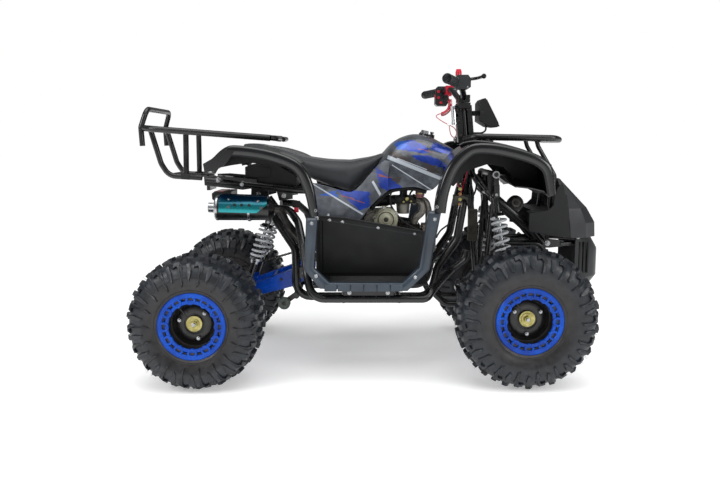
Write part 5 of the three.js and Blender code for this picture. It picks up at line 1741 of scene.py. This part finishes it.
lining = [(36, -100, 583), (60, -102, 612), (95, -104, 643), (130, -104, 657), (190, -104, 660), (240, -104, 648)]
wire(bm, curve_through(lining, 8), 9, finish=2)
finishes = [dark_alloy, cast_alloy, well_black, gold_zinc, grip_rubber, faded_red]
hand_over("carburetter", bm, "chassis", finishes, stands_for=["carburettor"], bevel_mm=0.8)
print("carburettor made")

# %% [markdown]
# The exhaust is one bent pipe to a can under the seat rails. The can has a perforated-looking anodised guard
# whose colour runs from navy at the top to teal, so its tone follows the height.

# %% Exhaust pipe, muffler and heat shield
EXHAUST = [
    (262, -8, 417), (262, -8, 362), (236, -60, 340), (226, -150, 346), (170, -158, 374), (-110, -156, 376),
    (-190, -150, 430), (-262, -158, 520), (-280, -250, 595), (-299.5, -250, 596),
]
bm = bmesh.new()
tube(bm, EXHAUST, 13.5, bend=45, sides=24, steps=8)
rod(bm, (262, -8, 416.5), (262, -8, 409), 20, sides=6, finish=1)
hand_over("exhaust_bend", bm, "chassis", [dark_steel, bright_steel], stands_for=["exhaust_pipe"])


def along_can(x, lift=0.0):
    return (x, -250, 596 + (-310 - x) * 0.03 + lift)


bm = bmesh.new()
rod(bm, along_can(-300), along_can(-318), 20, 38, sides=40)
rod(bm, along_can(-318), along_can(-500), 38, 43.3, sides=56)
rod(bm, along_can(-500), along_can(-505), 43.8, 40, sides=56, finish=1)
rod(bm, along_can(-494), along_can(-500), 43.9, sides=56, finish=1)
rod(bm, along_can(-504), along_can(-529.5), 17, sides=32, finish=1)
rod(bm, along_can(-529), along_can(-530), 14, sides=32, finish=2)
slab(bm, (-398, -214, 597), (-374, -131, 603), finish=2)
rod(bm, along_can(-382), along_can(-390), 43.6, sides=56, finish=1)
hand_over("silencer", bm, "chassis", [frame_black, bright_steel, well_black], stands_for=["muffler"], bevel_mm=0.5)


def anodised_guard():
    """Anodised aluminium: navy at the top and teal below, with a fine brushed grain along x."""
    material, tree, shader, place = new_finish("anodised_guard", 0.25, metallic=0.8, coat=0.6)
    height = add_node(tree, "ShaderNodeSeparateXYZ", {"Vector": place}).outputs["Z"]
    waver = spread(tree, mottle(tree, place, 45), -0.006, 0.006)
    height = add_node(tree, "ShaderNodeMath", {0: height, 1: waver}, operation="ADD").outputs[0]
    inputs = {"Value": height, "From Min": 0.606, "From Max": 0.634}
    upwards = add_node(tree, "ShaderNodeMapRange", inputs).outputs["Result"]
    tone = blend_colours(tree, upwards, linear("0f8f96"), linear("0b3d62"))
    tree.links.new(tone, shader.inputs["Base Color"])
    brushed = add_node(tree, "ShaderNodeMapping", {"Vector": place, "Scale": (0.08, 1, 1)}).outputs["Vector"]
    roughen(tree, shader, mottle(tree, brushed, 0.8), 0.02)
    return material


bm = bmesh.new()
GUARD_ENDS = (-486, -322)
rings = []
for k in range(15):
    t = k / 14
    x = GUARD_ENDS[0] + (GUARD_ENDS[1] - GUARD_ENDS[0]) * t
    reach = 50.3 - 1.2 * t
    low = math.radians(-12 + 34 * max(0.0, t - 0.78) / 0.22)
    high = math.radians(93 - 22 * max(0.0, t - 0.8) / 0.2)
    axis = Vector(along_can(x))
    turns = [low + (high - low) * j / 12 for j in range(13)]
    rings.append([axis + Vector((0, -reach * math.cos(a), reach * math.sin(a))) for a in turns])
loft(bm, rings, finish=0, thickness=3.2)
for x, lift in ((-452, 8), (-340, 8), (-452, 34), (-352, 30)):
    reach = math.sqrt(49.6**2 - lift**2)
    at = Vector(along_can(x)) + Vector((0, -reach, lift))
    bolt(bm, at, (0, -reach, lift), 3.6, finish=1)
for k in range(3):
    x = -432 + k * 25
    rod(bm, Vector(along_can(x)) + Vector((0, -48, 16)), Vector(along_can(x)) + Vector((0, -49.6, 16.6)), 5, sides=20, finish=2)
finishes = [anodised_guard(), bright_steel, well_black]
hand_over("exhaust_guard", bm, "chassis", finishes, stands_for=["heat_shield"], sharp=50)
print("exhaust made")

# %% [markdown]
# Everything that turns with the rider's hands is on the steering body: the column, two flat riser bars, the
# bent handlebar and the lamp. The red plastic and the chrome lock barrel are what the eye finds first.

# %% Steering column and risers
bm = bmesh.new()
rod(bm, steering_spot(232), steering_spot(967), 12.5, sides=28)
pitman_x = steering_spot(270)[0]
arm = [(pitman_x + 6, 259), (pitman_x + 6, 275), (pitman_x - 60, 275), (pitman_x - PITMAN - 10, 274), (pitman_x - PITMAN - 10, 260)]
plate(bm, arm, -25, 25)
rod(bm, steering_spot(790), steering_spot(805.5), 23.5, sides=36, finish=1)
for behind, ahead in ((-31, -9), (11, 29.5)):
    low, high = steering_spot(827)[0], steering_spot(965)[0]
    plate(bm, [(low + behind, 827), (low + ahead, 827), (high + ahead, 965), (high + behind, 965)], -19, 19)
    for z in (850, 905, 945):
        x = steering_spot(z)[0] + (behind + ahead) / 2
        bolt(bm, (x, -19, z), (0, -1, 0), 5, finish=1)
top_x = steering_spot(960)[0]
slab(bm, (top_x - 23, -46, 951), (top_x + 21, 46, 973))
for x, y in ((top_x - 14, -36), (top_x - 14, 36), (top_x + 12, -36), (top_x + 12, 36)):
    rod(bm, (x, y, 944), (x, y, 951), 5, sides=6, finish=1)
rod(bm, (350, -14, 893), (344.2, -14, 961), 9.5, sides=36, finish=2)
rod(bm, (350, -14, 893), (349.2, -14, 903), 10.8, sides=36, finish=2)
rod(bm, (345.2, -14, 950), (344.2, -14, 962), 10.8, sides=36, finish=2)
slab(bm, (345, -19, 921), (363, -9, 933), finish=1)
finishes = [frame_black, dark_steel, chrome_plate]
hand_over("steering_post", bm, "steering", finishes, stands_for=["steering_column"], bevel_mm=1)
print("column leans", round(math.degrees(STEER_RAKE), 1), "degrees")

# %% Handlebar, grips, levers and switches
HALF_BAR = [(steering_spot(988)[0], 0, 988), (376, -66, 992), (356, -130, 1032), (276, -388, 1029)]
LEVER = [(338, -240, 1036), (392, -262, 1041), (399, -350, 1040)]
bm = bmesh.new()
for mirror in (lambda r: r, flip):
    tube(bm, mirror(HALF_BAR), 11, bend=40, sides=24, finish=1)
    start, end = mirror([(314, -266, 1030), (273, -398, 1028.8)])
    a, b = Vector(start), Vector(end)
    rod(bm, a, b, 15, sides=32)
    rod(bm, a, a.lerp(b, 0.045), 17, sides=32)
    rod(bm, a.lerp(b, 0.94), b, 17, 15.5, sides=32)
    for k in range(13):
        t = 0.1 + k * 0.064
        rod(bm, a.lerp(b, t), a.lerp(b, t + 0.032), 16.4, sides=32)
    tube(bm, mirror(LEVER), 5.2, bend=30, finish=1)
    knob = mirror([(398.3, -343, 1040), (399, -350, 1040), (399.3, -357, 1040)])
    rod(bm, knob[0], knob[1], 5, 8.4, sides=24, finish=1)
    rod(bm, knob[1], knob[2], 8.4, 5, sides=24, finish=1)
    pivot = mirror([(345, -243, 1028), (345, -243, 1044)])
    rod(bm, pivot[0], pivot[1], 8, sides=20, finish=1)
    bolt(bm, pivot[1], (0, 0, 1), 4, finish=3)
slab(bm, (361, -41, 975), (403, 41, 988), finish=1)
slab(bm, (361, -41, 989), (403, -8, 1001), finish=1)
slab(bm, (361, 8, 989), (403, 41, 1001), finish=1)
for x in (369, 395):
    for y in (-30, 30):
        rod(bm, (x, y, 1000), (x, y, 1002), 5, sides=6, finish=3)
hood = [(319, 1006), (319, 1046), (328, 1053), (362, 1053), (371, 1040), (371, 1012), (360, 1005)]
plate(bm, hood, -261, -213, finish=1)
rod(bm, (332, -235, 1052), (332, -235, 1062), 10.5, sides=32, finish=2)
rod(bm, (332, -235, 1062), (332, -235, 1073.5), 11, 8, sides=32, finish=2)
rod(bm, (345, -213.5, 1030), (345, -205, 1030), 13, sides=28, finish=2)
bolt(bm, (360, -261, 1012), (0, -1, 0), 2.6, finish=3)
bolt(bm, (326, -261, 1040), (0, -1, 0), 2.6, finish=3)
housing = [(301, 980), (301, 1040), (310, 1051), (344, 1051), (355, 1040), (355, 990), (344, 973), (308, 973)]
plate(bm, housing, 206, 261, finish=1)
for x, z, kind in ((318, 1030, 2), (338, 1030, 4), (318, 1006, 2), (338, 1006, 1), (328, 986, 2)):
    rod(bm, (x - 6, 205.5, z), (x - 6, 203, z), 5.5, sides=20, finish=kind)
slab(bm, (300.5, 216, 1004), (302, 250, 1020), finish=2)
slab(bm, (335, 142, 1015), (367, 194, 1049), finish=2)
rod(bm, (351, 150, 1020), (351, 150, 1008), 9, 7, sides=28, finish=2)
rod(bm, (334.5, 168, 1032), (332.5, 168, 1032), 9, sides=24, finish=1)
finishes = [grip_rubber, frame_black, signal_red, bright_steel, spring_white]
hand_over("bars", bm, "steering", finishes, stands_for=["handlebar"], bevel_mm=1)
print("handlebar made,", round(size("handlebar").y, 2), "m wide")

# %% Headlamp
lens_glass = mottled_finish("lens_glass", "1b2119", "39422f", 0.08, 6, 0.05, patch_mm=25, coat=1.0)
POD = [(437, 906), (437, 974), (446, 986), (457, 988), (511, 886), (499, 882), (470, 886)]
bm = bmesh.new()
plate(bm, POD, -61, 61)
face = [(461, 983), (507, 895), (509.5, 896.2), (463.5, 984.2)]
plate(bm, face, -52, 52, finish=1)
for y in (-30, 0, 30):
    plate(bm, [(462, 984), (508, 896), (509.6, 896.8), (463.6, 984.8)], y - 1, y + 1, finish=0)
slab(bm, (steering_spot(935)[0] + 31, -15, 926), (438, 15, 944))
for y in (-61, 61):
    side = 1 if y > 0 else -1
    bolt(bm, (448, y - side * 1.2, 935), (0, side, 0), 4, finish=2)
wire(bm, curve_through([(470, 0, 889), (469, 0, 872), (456, 0, 863), (440, 0, 862), (425, 0, 862)], 5), 3.5)
pod = hand_over("front_lamp", bm, "steering", [well_black, lens_glass, dark_steel], ["headlamp_pod"], bevel_mm=3)
print("headlamp made")

# %% Tail lamp
lamp_red = mottled_finish("lamp_red", "a50f12", "d12418", 0.15, 3.0, 0.1, patch_mm=18, coat=1.0)
lamp_red.node_tree.nodes["Principled BSDF"].inputs["Subsurface Weight"].default_value = 0.2
bm = bmesh.new()
slab(bm, (-512, -72, 612), (-484, 72, 646))
lens = [(-554, 618), (-555, 638), (-545, 647), (-512, 647), (-512, 611), (-545, 611)]
plate(bm, lens, -73, 73, finish=1)
for k in range(9):
    slab(bm, (-555.8, -64 + k * 14.6, 616), (-553, -60 + k * 14.6, 640), finish=1)
tail_finishes = [well_black, lamp_red]
hand_over("rear_lamp", bm, "chassis", tail_finishes, stands_for=["tail_lamp"], bevel_mm=2)
print("tail lamp made")

# %% [markdown]
# Small things are bolted in the gaps of the frame: a battery tray under the seat, a finned regulator, a horn,
# copper connectors and the chain roller. None of them moves, and they are what makes a machine look real.

# %% Battery tray, electrics, horn and chain roller
bm = bmesh.new()
plate(bm, [(-424, 690), (-424, 738), (-398, 748), (-310, 750), (-236, 704), (-236, 668), (-410, 668)], -104, 104)
slab(bm, (-412, -106, 700), (-330, -104, 738))
slab(bm, (-470, -108, 664), (-344, 108, 684))
hand_over("battery_tray", bm, "chassis", well_black, bevel_mm=2)

bm = bmesh.new()
slab(bm, (394, -104, 466), (428, -96, 584))
for k in range(9):
    slab(bm, (396 + k * 3.8, -112, 470), (397.6 + k * 3.8, -104, 580))
slab(bm, (339, -102, 596), (398, -84, 636), finish=1)
slab(bm, (-244, -134, 574), (-228, -122, 592), finish=5)
slab(bm, (-250, -134, 592), (-222, -118, 616), finish=1)
plate(bm, [(342, 600), (342, 632), (372, 634), (392, 626), (392, 604)], -106, -102, finish=1)
for k, z in enumerate((601, 620, 639, 658, 677)):
    rod(bm, (363, -108, z), (363, -100, z), 6.5, sides=20, finish=2 if k % 2 == 0 else 3)
    rod(bm, (363, -108, z), (363, -110, z), 3, sides=6, finish=3)
for routes in (
    [(363, -100, 690), (372, -90, 728), (350, -60, 770), (330, -30, 785)],
    [(392, -92, 616), (420, -80, 640), (428, -60, 690), (404, -36, 742)],
    [(410, -98, 586), (414, -88, 640), (400, -60, 700)],
    [(370, -88, 600), (345, -70, 540), (300, -60, 500), (284, -50, 470)],
    [(212, -50, 690), (180, -52, 660), (150, -56, 620), (140, -60, 590)],
    [(430, -98, 530), (462, -96, 560), (500, -92, 590), (560, -70, 610)],
):
    wire(bm, curve_through(routes, 8), 3.2, sides=10, finish=4)
for routes in (
    [(366, -102, 640), (380, -84, 680), (398, -50, 730)],
    [(363, -104, 658), (350, -90, 690), (356, -60, 744)],
):
    wire(bm, curve_through(routes, 8), 2, sides=8, finish=5)
finishes = [dark_alloy, well_black, coil_copper, gold_zinc, grip_rubber, signal_red]
hand_over("electrics", bm, "chassis", finishes, bevel_mm=0.6)

bm = bmesh.new()
rod(bm, (574, -50, 596), (576, -72, 604), 30, sides=40)
rod(bm, (576, -72, 604), (576.4, -76, 605), 22, 18, sides=40, finish=1)
rod(bm, (576.4, -76, 605), (576.6, -79, 606), 8, sides=20, finish=1)
slab(bm, (560, -54, 560), (576, -48, 600))
hand_over("horn", bm, "chassis", [frame_black, dark_steel], bevel_mm=0.8)

roller_green = mottled_finish("roller_green", "3c453f", "5b655d", 0.5, 1.0, 0.03, patch_mm=12)
bm = bmesh.new()
ROLLER = (-287, 0, 231)
for side in (-1,):
    wheel = [(7, 97), (21, 97), (23, 99), (17, 104), (17, 110), (23, 115), (21, 117), (7, 117)]
    paint(turned(bm, wheel, ROLLER, side, steps=36), 1)
    rod(bm, (ROLLER[0], side * 92, ROLLER[2]), (ROLLER[0], side * 119, ROLLER[2]), 7, sides=20)
    plate(bm, [(-296, 226), (-292, 240), (-252, 268), (-236, 268), (-236, 256), (-280, 224)], side * 91, side * 96)
hand_over("guide_roller", bm, "chassis", [dark_steel, roller_green], bevel_mm=0.5)
print("small parts made")

# %% [markdown]
# A plain pale floor and two big soft lamps make a studio. The sky is almost white, because most of what a
# glossy fender shows is what stands around it.

# %% Floor and light
FLOOR_GLOW = 0.36  # keeps the paper floor near white out to the horizon
floor_mesh = bmesh.new()
bmesh.ops.create_grid(floor_mesh, x_segments=1, y_segments=1, size=40)
floor_data = bpy.data.meshes.new("floor")
floor_mesh.to_mesh(floor_data)
floor_mesh.free()
floor = bpy.data.objects.new("floor", floor_data)
bpy.context.collection.objects.link(floor)
floor_finish, floor_tree, floor_shader, floor_place = new_finish("studio_floor", 0.9, specular=0.0)
floor_shader.inputs["Base Color"].default_value = (0.9, 0.9, 0.9, 1)
floor_shader.inputs["Emission Color"].default_value = (1, 1, 1, 1)
floor_shader.inputs["Emission Strength"].default_value = FLOOR_GLOW
floor_data.materials.append(floor_finish)

AMBIENT = 0.22  # what the paper walls give back, against 1.0 where they are seen
world = bpy.data.worlds.new("studio")
bpy.context.scene.world = world
world.use_nodes = True
backdrop = world.node_tree.nodes["Background"]
backdrop.inputs["Color"].default_value = (1, 1, 1, 1)
seen = add_node(world.node_tree, "ShaderNodeLightPath").outputs["Is Camera Ray"]
strength = add_node(world.node_tree, "ShaderNodeMapRange", {"Value": seen, "To Min": AMBIENT, "To Max": 1.0})
world.node_tree.links.new(strength.outputs["Result"], backdrop.inputs["Strength"])


def soft_lamp(name, place, aim, width, power):
    data = bpy.data.lights.new(name, "AREA")
    data.shape = "RECTANGLE"
    data.size = width
    data.size_y = width * 0.6
    data.energy = power
    lamp = bpy.data.objects.new(name, data)
    lamp.location = place
    lamp.rotation_euler = (Vector(aim) - Vector(place)).to_track_quat("-Z", "Y").to_euler()
    bpy.context.collection.objects.link(lamp)


sun_data = bpy.data.lights.new("skylight", "SUN")
sun_data.energy = 1.7
sun_data.angle = math.radians(70)
sun = bpy.data.objects.new("skylight", sun_data)
sun.rotation_euler = (math.radians(18), math.radians(8), 0)
bpy.context.collection.objects.link(sun)
soft_lamp("overhead", (-0.2, -0.6, 3.2), (0, 0, 0.4), 3.0, 26)
soft_lamp("from_the_front", (2.6, -2.4, 1.6), (0.2, 0, 0.5), 1.8, 34)
soft_lamp("from_behind", (-2.4, -2.0, 1.9), (-0.2, 0, 0.5), 1.6, 34)
bpy.context.scene.view_settings.view_transform = "Standard"
print("studio lit")
